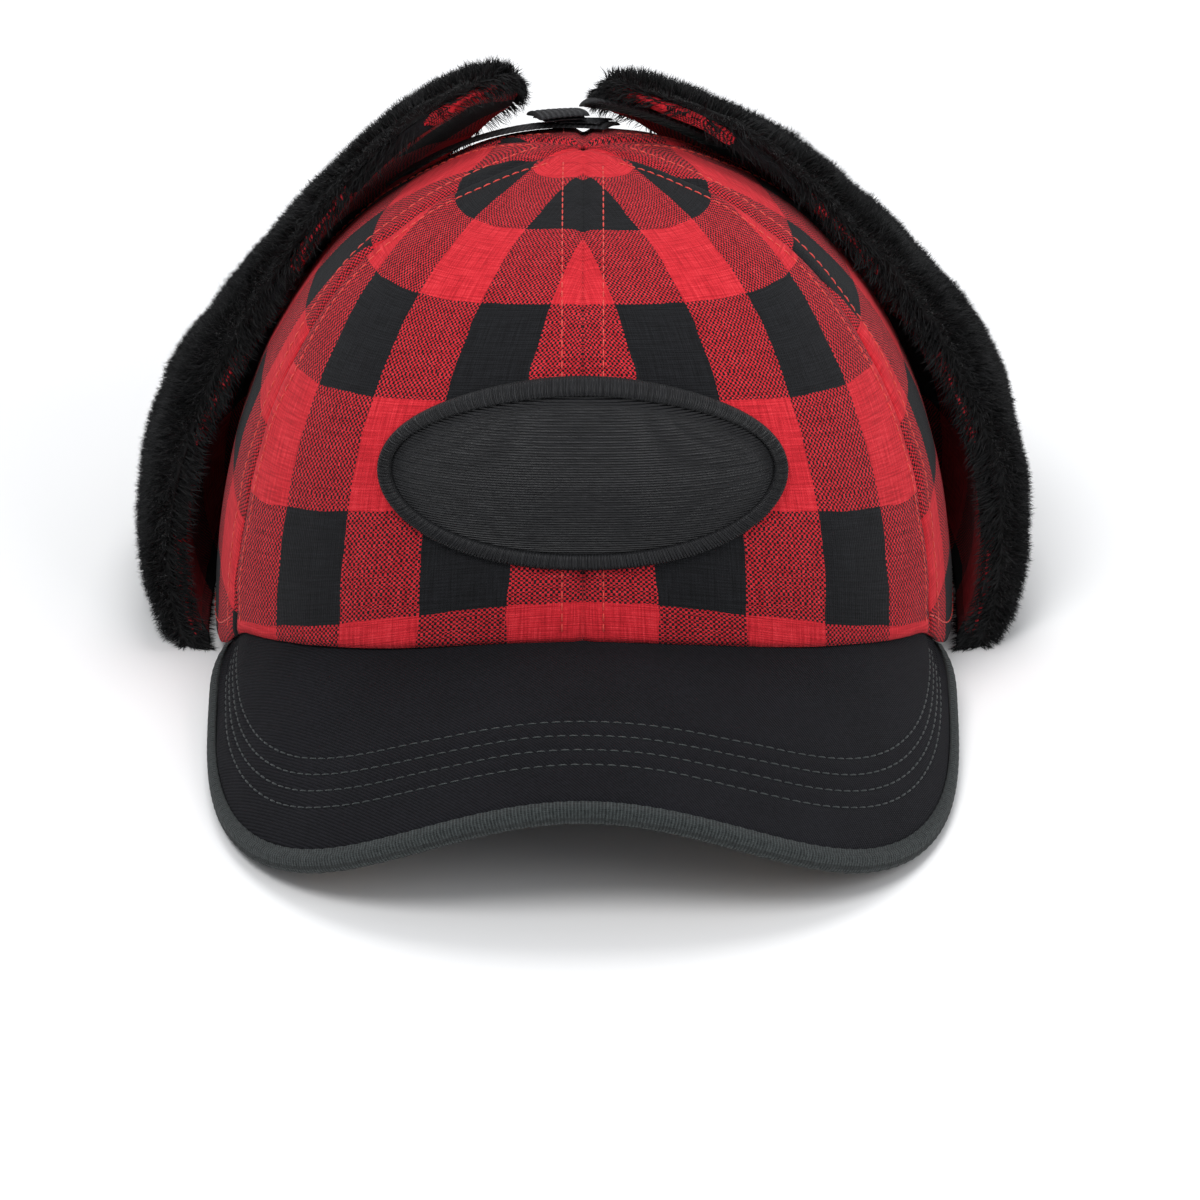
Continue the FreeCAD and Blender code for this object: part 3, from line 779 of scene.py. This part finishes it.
def seam_tapes():
    """Woven tape over each seam, inside the crown, sewn along both edges."""
    vertices, faces, uvs, lines = [], [], [], []
    start = 0
    for seam in SEAM_TURNS:
        share = np.linspace(0, 1, 90)[:, None]
        low = climb_of_height(seam, hem_height(seam) + 2.2)
        high = climb_of_radius(seam, 4.0)
        climb = low + (high - low) * share
        spread = np.linspace(-1, 1, 9)[None, :]
        middle = on_meridian(seam, climb, TAPE_INSET)
        radius = np.hypot(middle[..., 0], middle[..., 1])
        turn = seam + spread * np.arctan(TAPE_HALF / (radius + 2 * TAPE_HALF))
        wavy = lumps(np.stack(np.broadcast_arrays(share * TAPE_LENGTH, spread * 5, 0.0), -1), 7.0, 5)
        puff = 0.25 * (1 - spread**4) + 0.15 * wavy
        outer = on_meridian(turn, climb + 0 * spread, TAPE_INSET)
        inner = on_meridian(turn, climb + 0 * spread, TAPE_INSET + TAPE_THICK)
        inward = unit(inner - outer)
        inner = inner + inward * puff[..., None]
        rows, columns = outer.shape[:2]
        count = rows * columns
        vertices += [outer.reshape(-1, 3), inner.reshape(-1, 3)]
        faces.append(slab_faces(rows, columns, start))
        uv = np.stack(np.broadcast_arrays(spread * TAPE_HALF, share * TAPE_LENGTH), -1).reshape(-1, 2)
        uvs += [uv, uv]
        lines += [(inner[:, 1], inward[:, 1]), (inner[:, -2], inward[:, -2])]
        start += 2 * count
    made = make_object("seam_tapes", np.concatenate(vertices), np.concatenate(faces),
                       np.concatenate(uvs), SEAM_TAPE)
    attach(made, "crown")
    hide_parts(*[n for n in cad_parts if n.startswith("seam_tape")])
    sewn = stitches("seam_tape_stitching", lines, BLACK_THREAD, radius=0.16, lift=0.1)
    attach(sewn, "crown")


def sweatband():
    """A turned twill band with a soft, rounded top and a row of stitches near each edge."""
    turns = np.linspace(-math.pi + BAND_REAR_GAP, math.pi - BAND_REAR_GAP, 361)[None, :]
    share = np.linspace(0, 1, 26)[:, None]
    z = hem_height(turns) + 0.5 + BAND_HEIGHT * share
    where = np.stack(np.broadcast_arrays(turns * BAND_RADIUS, share * 20, 0.0), -1)
    ripple = 0.3 * lumps(where, 9.0, 7)
    outer = at_turn(turns, radius_at(turns, z, BAND_INSET), z)
    swell = 1.5 - 0.8 * np.clip(np.abs(2 * share - 1), 0, 1) ** 8 + ripple
    inner = at_turn(turns, radius_at(turns, z, BAND_INSET + swell), z)
    uv = np.stack(np.broadcast_arrays(turns * BAND_RADIUS, share * BAND_HEIGHT), -1)
    made = slab("sweat_band", outer, inner, uv, BAND_TWILL)
    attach(made, "crown")
    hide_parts("sweatband")
    inward = unit(inner - outer)
    lines = [(inner[k], inward[k]) for k in (2, 22)]
    sewn = stitches("sweat_band_stitching", lines, BLACK_THREAD, radius=0.18)
    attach(sewn, "crown")


seam_tapes()
sweatband()
for name in ("front_left_stiffener", "front_right_stiffener", "brim_board"):
    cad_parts[name].data.materials.clear()
    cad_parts[name].data.materials.append(BUCKRAM)

# ------------------------------------------------------------------ brim

BRIM_HALF_WIDTH, BRIM_REACH, BRIM_SETBACK, BRIM_TAIL = 87.0, 61.0, 37.0, 40.0
BRIM_POWER = 3.0
BRIM_FRONT_Z, BRIM_SIDE_Z = 32.0, 4.6
BRIM_END, BRIM_SEAM_END = math.radians(102.0), math.radians(64.0)
BRIM_THICKNESS = 3.8
BRIM_TAIL_RISE, BRIM_RISE_FROM = 7.5, math.radians(55.0)
BRIM_CENTRE_Y = BRIM_SETBACK - HALF_LENGTH


def brim_edge(angle, outward=0.0):
    ahead = np.cos(angle)
    length = np.where(ahead > 0, BRIM_REACH + BRIM_SETBACK, BRIM_TAIL)
    across = np.abs(np.sin(angle)) / BRIM_HALF_WIDTH
    reach = (across**BRIM_POWER + (np.abs(ahead) / length) ** BRIM_POWER) ** (-1 / BRIM_POWER)
    x = reach * np.sin(angle)
    bend = np.maximum(0.0, 1 - (x / BRIM_HALF_WIDTH) ** 2) ** 1.9
    z = BRIM_SIDE_Z + (BRIM_FRONT_Z - BRIM_SIDE_Z) * bend
    tail = np.clip((np.abs(angle) - BRIM_RISE_FROM) / (BRIM_END - BRIM_RISE_FROM), 0, 1)
    z = z + BRIM_TAIL_RISE * tail**2
    radius = reach + outward
    return np.stack([radius * np.sin(angle), BRIM_CENTRE_Y - radius * ahead, z + 0 * radius], -1)


def brim_seam(angle):
    share = np.abs(angle) / BRIM_END
    fan = 0.85 * (1 - (1 - share) ** 2.4) + 0.15 * share
    turn = np.copysign(BRIM_SEAM_END * fan, angle)
    z = hem_height(turn)
    return at_turn(turn, radius_at(turn, z, 2.0), z)


def brim_surface(share, angle):
    """share runs from the seam to the edge."""
    seam, edge = brim_seam(angle), brim_edge(angle)
    points = mixed(seam, edge, share[..., None])
    rise = 1.1 * np.sin(math.pi * share) * np.cos(angle).clip(0, 1)
    return points + np.stack([0 * share, 0 * share, rise + 0.15 * (1 - share)], -1)


BRIM_ROWS = (15.0, 20.4, 25.7, 31.0)  # quilting, in mm from the edge
BRIM_GRID_ROWS = 60
BRIM_ROWS_END = math.radians(84)


def brim_cloth(name, node, material, top):
    angle = np.linspace(-BRIM_END, BRIM_END, 241)[None, :]
    share = np.linspace(0, 1, BRIM_GRID_ROWS)[:, None]
    share, angle = np.broadcast_arrays(share, angle)
    points = brim_surface(share, angle)
    run = np.linalg.norm(brim_edge(angle) - brim_seam(angle), axis=-1)
    from_edge = (1 - share) * run
    quilt = sum(-0.28 * bell(from_edge - row, 0.9) for row in BRIM_ROWS)
    quilt = quilt * np.clip((np.cos(angle) + 0.6) * 2, 0, 1)
    soft = 0.22 * lumps(points, 15.0, 8) + quilt
    edge_roll = -0.9 * bell(from_edge, 2.0)
    up = np.array([0, 0, 1.0])
    normals = grid_normals(points)
    normals = normals * np.sign(normals[..., 2:3])
    if top:
        outer = points + normals * (soft + edge_roll)[..., None]
        inner = points - up * 0.95
    else:
        base = points - up * (BRIM_THICKNESS - 0.8)
        outer = base - normals * (0.85 + soft + edge_roll)[..., None]
        inner = base
    uv = np.stack([points[..., 0], points[..., 1]], -1)
    made = slab(name, outer, inner, uv, material)
    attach(made, "crown")
    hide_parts(node)
    lines = []
    side = 1 if top else -1
    for row in BRIM_ROWS:
        keep = np.abs(angle[0]) < BRIM_ROWS_END
        path, tops = [], []
        for column in np.flatnonzero(keep):
            if run[0, column] < row + 4:
                continue
            at = (1 - row / run[0, column]) * (BRIM_GRID_ROWS - 1)
            i = int(at)
            path.append(mixed(outer[i, column], outer[i + 1, column], at - i))
            tops.append(normals[i, column] * side)
        lines.append((np.array(path), np.array(tops)))
    sewn = stitches(f"{name}_stitching", lines, GREEN_THREAD,
                    pitch=2.8, length=2.2, radius=0.22, lift=0.1)
    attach(sewn, "crown")


BINDING_SIDES = 20
BINDING_OUT, BINDING_LAP = 1.7, 3.2


def brim_binding():
    """Ribbed tape rolled round the edge: a flattened loop that laps on to both covers."""
    angle = np.linspace(-BRIM_END, BRIM_END, 361)
    edge = brim_edge(angle)
    tangent = unit(np.gradient(edge, axis=0))
    outward = unit(np.cross(tangent, np.array([0, 0, 1.0])))
    outward = facing(outward, edge - np.array([0, BRIM_CENTRE_Y, 0]))
    seam = brim_seam(angle)
    inward = unit(seam - edge)
    up = unit(np.cross(outward, tangent))
    up = up * np.sign(up[:, 2:3])
    phase = np.linspace(0, TAU, BINDING_SIDES, endpoint=False)
    level, height = np.cos(phase), np.sin(phase)
    reach = np.where(level > 0, level * BINDING_OUT, level * BINDING_LAP)
    tall = np.sign(height) * np.abs(height) ** 0.75 * (BRIM_THICKNESS / 2 + 0.45)
    middle = edge - up * (BRIM_THICKNESS / 2)
    lap = np.where(reach[None, :, None] > 0, outward[:, None, :], -inward[:, None, :])
    rings = middle[:, None, :] + lap * reach[None, :, None] + up[:, None, :] * tall[None, :, None]
    rib = 0.10 * np.sin(np.arange(len(angle)) * 2.1)[:, None, None]
    rings = rings + (rings - middle[:, None, :]) * rib * 0.3
    length = travelled(edge)
    uv = np.stack(np.broadcast_arrays(phase[None, :] * 2.2, length[:, None]), -1)
    # the tape's grey colour carries painted highlight, the edge's lighter look where it faces the
    # light
    made = tube_from_rings("brim_edge_tape", rings, uv, EDGE_TAPE)
    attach(made, "crown")
    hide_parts("brim_binding")


brim_cloth("brim_top_cloth", "brim_top_cover", BRIM_TWILL, True)
brim_cloth("brim_under_cloth", "brim_under_cover", PRINT, False)
brim_binding()

# ------------------------------------------------------------------ badge

BADGE_W, BADGE_H, BADGE_Z = 49.0, 17.0, 80.0


def badge_place(across, up, off):
    turn = across / plan_radius(0.0)
    z = BADGE_Z + up
    return at_turn(turn, radius_at(turn, z, -off), z)


def badge():
    """A plain oval patch: flat fill in rows of thread, and a thick satin border."""
    v, u = np.meshgrid(np.linspace(-1, 1, 61), np.linspace(-1, 1, 161), indexing="ij")
    across = BADGE_W * u * np.sqrt(1 - v * v / 2)
    up = BADGE_H * v * np.sqrt(1 - u * u / 2)
    rim = 1 - np.hypot(across / BADGE_W, up / BADGE_H)
    rows = 0.09 * np.sin(up * TAU / 1.1) * np.clip(rim * 8, 0, 1)
    outer = badge_place(across, up, 1.25 + rows - 0.5 * bell(rim * BADGE_H, 1.2))
    inner = badge_place(across, up, 0.2 + 0 * up)
    fill = slab("badge_fill", outer, inner, np.stack([across, up], -1), FILL_STITCH)
    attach(fill, "crown")
    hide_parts("badge_field")
    angle = np.linspace(0, TAU, 720, endpoint=False)
    phase = np.linspace(0, TAU, 14, endpoint=False)
    grow = 1.75 + 1.85 * np.cos(phase)
    off = 1.0 + 1.05 * np.sign(np.sin(phase)) * np.abs(np.sin(phase)) ** 0.8
    ridge = 1 + 0.07 * np.sin(np.arange(720) * TAU / 3.0)[:, None]
    across = (BADGE_W + grow[None, :]) * np.cos(angle)[:, None]
    up = (BADGE_H + grow[None, :]) * np.sin(angle)[:, None]
    rings = badge_place(across, up, np.maximum(off[None, :] * ridge, 0.1))
    around = angle[:, None] * (BADGE_W + BADGE_H) / 2 + 0 * grow
    uv = np.stack([around, grow[None, :] + 0 * around], -1)
    border = tube_from_rings("badge_rim", rings, uv[..., ::-1], BORDER_STITCH, closed_path=True)
    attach(border, "crown")
    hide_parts("badge_border")


badge()

# ------------------------------------------------------------------ flaps

EAR_FRONT_TURN, EAR_REAR_TURN = math.radians(75.0), math.radians(139.0)
EAR_TIP_FRONT, EAR_TIP_REAR = -2.0, 40.0
EAR_TIP_ROUNDING, EAR_TAPER_POWER = 0.10, 1.3
HEM_STANDOFF, STANDOFF, FLARE = 1.2, 8.5, math.radians(9.0)
PILE, PILE_AT_FOLD, EAR_TILT = 10.0, 0.85, 4.0
SHELL_AND_PADDING = 4.0
EARS = {
    1: {"tip": 86.0, "dip": 0.985, "dip_at": 59.0, "dip_width": 23.0, "lift": 0.3,
        "lift_from": 76.0, "tip_pile": 0.50},
    -1: {"tip": 80.5, "dip": 0.96, "dip_at": 50.0, "dip_width": 21.0, "lift": 2.4,
         "lift_from": 66.0, "tip_pile": 0.60},
}
NECK_TIP = math.radians(34.0)
NECK_STANDOFF, NECK_PILE, FLAP_GAP = 3.0, 9.0, 1.0

EAR_FRONT = at_turn(EAR_FRONT_TURN, plan_radius(EAR_FRONT_TURN), 0.0)
EAR_REAR = at_turn(EAR_REAR_TURN, plan_radius(EAR_REAR_TURN), 0.0)
LEAN = math.atan2(EAR_FRONT[0] - EAR_REAR[0], EAR_REAR[1] - EAR_FRONT[1])
FOLD_LEFT = np.array([-math.sin(LEAN), math.cos(LEAN), 0.0])
UP = np.array([0.0, 0.0, 1.0])


def fold_line(side):
    return FOLD_LEFT * np.array([side, 1.0, 1.0])


def fold_outward(side):
    return np.array([side * math.cos(LEAN), math.sin(LEAN), 0.0])


def around_crown(side, along, climb, offset):
    along, climb, offset = np.broadcast_arrays(along, climb, offset)
    centre = fold_line(side) * along[..., None]
    ray = fold_outward(side) * np.cos(climb)[..., None] + UP * np.sin(climb)[..., None]
    return centre + ray * (crown_reach(centre, ray) + offset)[..., None]


def flare(climb):
    return 1 - np.exp(-climb / FLARE)


def ear_edges(share_up):
    """Where the front and rear edges lie along the fold."""
    rise = share_up**EAR_TAPER_POWER
    front, rear = EAR_FRONT @ FOLD_LEFT, EAR_REAR @ FOLD_LEFT
    return mixed(front, EAR_TIP_FRONT, rise), mixed(rear, EAR_TIP_REAR, rise)


def ear_place(side, share_up, share_back):
    """(along the fold, climb) for a place on an ear flap."""
    ear = EARS[side]
    edge = np.abs(2 * share_back - 1) ** 4
    climb = math.radians(ear["tip"]) * share_up * (1 - EAR_TIP_ROUNDING * edge * share_up)
    return mixed(*ear_edges(share_up), share_back), climb


def ear_standoff(side, climb, share_back):
    ear = EARS[side]
    degrees = np.degrees(climb)
    dip = ear["dip"] * bell(degrees - ear["dip_at"], ear["dip_width"])
    dipped = STANDOFF * (flare(climb) - dip)
    rise = np.maximum(0, (degrees - ear["lift_from"]) / (ear["tip"] - ear["lift_from"]))
    tilt = EAR_TILT * (0.5 - share_back) * (degrees / ear["tip"]) ** 2
    return HEM_STANDOFF + dipped + ear["lift"] * rise**2 + tilt


def ear_pile(side, climb):
    ear = EARS[side]
    at_tip = 1 - (1 - ear["tip_pile"]) * (np.degrees(climb) / ear["tip"]) ** 2
    return PILE * (PILE_AT_FOLD + (1 - PILE_AT_FOLD) * flare(climb)) * at_tip


def ear_surface(side):
    def surface(share_up, share_back, depth):
        """depth 0 is the lining's inner face, 1 the plush's backing, 2 the pile's tips."""
        along, climb = ear_place(side, share_up, share_back)
        thick = np.interp(depth, [0, 1, 2], [0, 1, 1]) * SHELL_AND_PADDING
        thick = thick + np.clip(depth - 1, 0, 1) * ear_pile(side, climb)
        return around_crown(side, along, climb, ear_standoff(side, climb, share_back) + thick)

    return surface


def behind_crown(x, climb, offset):
    x, climb, offset = np.broadcast_arrays(x, climb, offset)
    centre = np.stack([x, 0 * x, 0 * x], -1)
    ray = np.stack([0 * climb, np.cos(climb), np.sin(climb)], -1)
    return centre + ray * (crown_reach(centre, ray) + offset)[..., None]


def neck_half_width(climb):
    limit = EAR_REAR @ FOLD_LEFT + FLAP_GAP
    low, high = np.zeros_like(climb), np.full_like(climb, EAR_REAR[0])
    for _ in range(30):
        middle = (low + high) / 2
        outside = behind_crown(middle, climb, HEM_STANDOFF) @ FOLD_LEFT > limit
        low = np.where(outside, middle, low)
        high = np.where(outside, high, middle)
    return low


NECK_CLIMBS = np.linspace(0, NECK_TIP, 60)
NECK_WIDTHS = neck_half_width(NECK_CLIMBS)


def neck_surface(share_up, share_back, depth):
    climb = NECK_TIP * share_up * (1 - 0.08 * np.abs(2 * share_back - 1) ** 6)
    x = np.interp(climb, NECK_CLIMBS, NECK_WIDTHS) * (2 * share_back - 1)
    thick = np.interp(depth, [0, 1, 2], [0, 1, 1]) * SHELL_AND_PADDING
    thick = thick + np.clip(depth - 1, 0, 1) * NECK_PILE
    return behind_crown(x, climb, HEM_STANDOFF + NECK_STANDOFF * flare(climb) + thick)


def edge_distances(points):
    """Each grid point's distance from the flap's fold, tip and two side edges."""
    from_tip = np.linalg.norm(points - points[-1:], axis=-1)
    from_fold = np.linalg.norm(points - points[:1], axis=-1)
    from_front = np.linalg.norm(points - points[:, :1], axis=-1)
    from_rear = np.linalg.norm(points - points[:, -1:], axis=-1)
    return from_fold, np.minimum(np.minimum(from_tip, from_front), from_rear)


FLAP_ROWS, FLAP_COLUMNS = 150, 110
FLAP_UP, FLAP_BACK = np.meshgrid(
    np.linspace(0, 1, FLAP_ROWS), np.linspace(0, 1, FLAP_COLUMNS), indexing="ij"
)


def flap_lining(word, surface, phase):
    """Checked cloth over wadding: the face that lies against the crown, with turned edges."""
    up, back = FLAP_UP, FLAP_BACK
    inner = surface(up, back, 0 * up)
    outer = surface(up, back, 0 * up + 1)
    outward = unit(outer - inner)
    _, edge = edge_distances(inner)
    soft = 0.7 * lumps(inner, 17.0, 4) + 0.35 * lumps(inner, 8.0, 6)
    sink = 1.6 * bell(edge, 1.6)
    inner = inner + outward * (np.clip(soft, -0.7, 2) + 0.4 + sink)[..., None]
    outer = outer - outward * (0.2 + 1.2 * bell(edge, 1.6))[..., None]
    uv = check_map(travelled(inner, 1), travelled(inner), *phase)
    made = slab(f"{word}_flap_lining", outer, inner, uv, CHECK)
    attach(made, f"{word}_flap")
    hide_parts(f"{word}_flap_shell", f"{word}_flap_padding")


STRAND_PER_MM2 = 4.6
STRAND_REACH, STRAND_WIDTH = 3.3, 0.10


def plush_base(word, surface):
    """The pile as a thick, uneven body with rounded edges, under its loose strands."""
    up, back = FLAP_UP, FLAP_BACK
    inner = surface(up, back, 0 * up + 1.02)
    tips = surface(up, back, 0 * up + 2)
    outward = unit(tips - inner)
    depth = np.linalg.norm(tips - inner, axis=-1)
    fold, edge = edge_distances(inner)
    edge = np.minimum(edge, fold + 3.0)
    rounding = np.sqrt(1 - (1 - np.clip(edge / 9.0, 0, 1)) ** 2)
    big = lumps(tips, 21.0, 9) * 1.5 + lumps(tips, 10.0, 10) * 0.9 + lumps(tips, 4.5, 12) * 0.35
    outer = inner + outward * ((depth - 3.0) * (0.35 + 0.65 * rounding) + big - 0.4)[..., None]
    uv = np.zeros(up.shape + (2,))
    made = slab(f"{word}_flap_plush", outer, inner, uv, PLUSH)
    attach(made, f"{word}_flap")
    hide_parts(f"{word}_flap_fur")
    return outer, inner, surface(up, back, 0 * up + 0.2)


def strands(word, outer, inner, rim, seed):
    """Loose pile: short curved blades, over the outer face and round the edges to the lining."""
    rng = np.random.default_rng(seed)
    normals = facing(grid_normals(outer), outer - inner)
    cells = np.linalg.norm(
        np.cross(outer[1:, :-1] - outer[:-1, :-1], outer[:-1, 1:] - outer[:-1, :-1]), axis=-1
    )
    areas = cells.ravel()
    face_count = int(areas.sum() * STRAND_PER_MM2)
    chosen = rng.choice(len(areas), face_count, p=areas / areas.sum())
    r, c = np.unravel_index(chosen, cells.shape)
    a, b = rng.random(face_count), rng.random(face_count)

    def sample(grid):
        top = mixed(grid[r, c], grid[r, c + 1], b[:, None])
        low = mixed(grid[r + 1, c], grid[r + 1, c + 1], b[:, None])
        return mixed(top, low, a[:, None])

    roots, outs = [sample(outer)], [unit(sample(normals))]
    # round the rim, from the outer face's edge to the backing's
    ids = [(slice(0, 1), slice(None)), (slice(-1, None), slice(None)),
           (slice(None), slice(0, 1)), (slice(None), slice(-1, None))]
    for rows, columns in ids:
        line_out = outer[rows, columns].reshape(-1, 3)
        line_in = rim[rows, columns].reshape(-1, 3)
        step = np.linalg.norm(np.diff(line_out, axis=0), axis=1).sum()
        width = np.linalg.norm(line_out - line_in, axis=1).mean()
        count = int(step * max(width, 2.0) * STRAND_PER_MM2)
        at = rng.random(count) * (len(line_out) - 1)
        i = at.astype(int)
        part = (at - i)[:, None]
        o = mixed(line_out[i], line_out[i + 1], part)
        n = mixed(line_in[i], line_in[i + 1], part)
        w = rng.random((count, 1))
        root = mixed(n, o, w)
        if rows == slice(None):
            beyond = outer[:, 1 if columns == slice(0, 1) else -2]
        else:
            beyond = outer[1 if rows == slice(0, 1) else -2]
        side = unit(line_out - beyond)[i]
        roots.append(root - side * 0.3)
        outs.append(unit(side + (0.9 * w - 0.35) * unit(o - n)))
    root, out = np.concatenate(roots), np.concatenate(outs)
    count = len(root)
    clump = np.stack([lumps(root, 3.2, k) for k in (21, 22, 23)], -1)
    sweep = np.stack([lumps(root, 14.0, k) for k in (31, 32, 33)], -1)
    lean = clump * 0.20 + sweep * 0.36 + rng.normal(0, 0.17, (count, 3)) + np.array([0, 0, -0.1])
    direction = unit(out + lean)
    reach = STRAND_REACH * (0.78 + 0.44 * rng.random((count, 1)))
    reach = reach * (1 + 0.16 * lumps(root, 5.0, 40))[:, None]
    bend = unit(np.cross(direction, rng.normal(0, 1, (count, 3)))) * 0.22 + lean * 0.25
    middle = root + direction * reach * 0.55
    tip = root + (direction + bend) * reach
    side = unit(np.cross(direction, rng.normal(0, 1, (count, 3))))
    width = STRAND_WIDTH + 0.07 * rng.random((count, 1))
    points = np.stack([
        root - side * width, root + side * width,
        middle - side * width * 0.75, middle + side * width * 0.75, tip], axis=1)
    points[..., 2] = np.maximum(points[..., 2], 0.15)
    shade = rng.random(count)
    for part, chosen in (("a", slice(0, None, 2)), ("b", slice(1, None, 2))):
        add_strands(f"{word}_flap_pile_{part}", points[chosen], shade[chosen], word)


def add_strands(name, points, shade, word):
    """One mesh of blades, each a quad and a tip triangle; uv holds its shade and its height."""
    count = len(points)
    ids = np.arange(count * 5).reshape(count, 5)
    loops = np.concatenate([ids[:, [0, 1, 3, 2]].ravel(), ids[:, [2, 3, 4]].ravel()])
    sizes = np.concatenate([np.full(count, 4), np.full(count, 3)])
    height = np.broadcast_to(np.array([0, 0, 0.55, 0.55, 1.0]), (count, 5))
    uv = np.stack([np.broadcast_to(shade[:, None], (count, 5)), height], -1).reshape(-1, 2)
    made = mesh_object(name, points.reshape(-1, 3), loops, sizes, uv, PLUSH)
    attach(made, f"{word}_flap")


FLAPS = {"left": ear_surface(1), "right": ear_surface(-1), "neck": neck_surface}
PHASES = {"left": (12.0, 20.0), "right": (12.0, 20.0), "neck": (0.0, 30.0)}
for number, (word, surface) in enumerate(FLAPS.items()):
    flap_lining(word, surface, PHASES[word])
    base = plush_base(word, surface)
    strands(word, *base, seed=70 + number)

# ------------------------------------------------------------------ strap over the top

STRAP_FRONT, STRAP_WIDTH = 9.0, 20.0
STRAP_LIFT = 4.1
CROWN_MEAN = 122.0  # turns a climb into a length of ribbon


def ribbon(name, node, body, material, side, climbs, offset, thick,
           margin=0.0, ribs=True):
    """A woven ribbon over the crown, with ribs across it and slightly rounded edges."""
    count = max(24, int(abs(climbs[1] - climbs[0]) * 6))
    climb = np.radians(np.linspace(climbs[0], climbs[1], count))[:, None]
    spread = np.linspace(-1, 1, 15)[None, :]
    half = STRAP_WIDTH / 2 - margin
    along = STRAP_FRONT + STRAP_WIDTH / 2 + spread * half
    climb, along, spread = np.broadcast_arrays(climb, along, spread)
    lift = offset(climb, along) if callable(offset) else offset
    length = CROWN_MEAN * climb
    rib = 0.09 * np.sin(length * TAU / WEBBING_RIB) if ribs else 0 * length
    soften = 0.55 * np.abs(spread) ** 5
    outer = around_crown(side, along, climb, lift + thick + rib - soften)
    inner = around_crown(side, along, climb, lift - rib * 0.6 + soften)
    uv = np.stack([along, length], -1)
    made = slab(name, outer, inner, uv, material)
    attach(made, body)
    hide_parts(node)
    return outer, inner


def under_left_flap(depth):
    def offset(climb, along):
        start, end = ear_edges(np.degrees(climb) / EARS[1]["tip"])
        return ear_standoff(1, climb, (along - start) / (end - start)) - 0.3 - depth

    return offset


ribbon("strap_ribbon", "strap_webbing", "strap", WEBBING, 1, (88.4, 93.8),
       STRAP_LIFT, 1.3)
ribbon("strap_root", "strap_sewn_end", "left_flap", WEBBING, 1, (72.0, 87.6),
       under_left_flap(1.4), 1.35)
ribbon("tab_ribbon", "closure_tab", "right_flap", WEBBING, -1, (64.0, 91.5), 0.95, 1.1)
ribbon("hook_pad", "strap_hook_pad", "strap", HOOKS, 1, (88.65, 93.15),
       STRAP_LIFT - 0.85, 0.75, 1.5, False)
ribbon("loop_pad", "closure_loop_pad", "right_flap", LOOPS, -1, (86.2, 90.8),
       2.15, 0.75, 1.5, False)
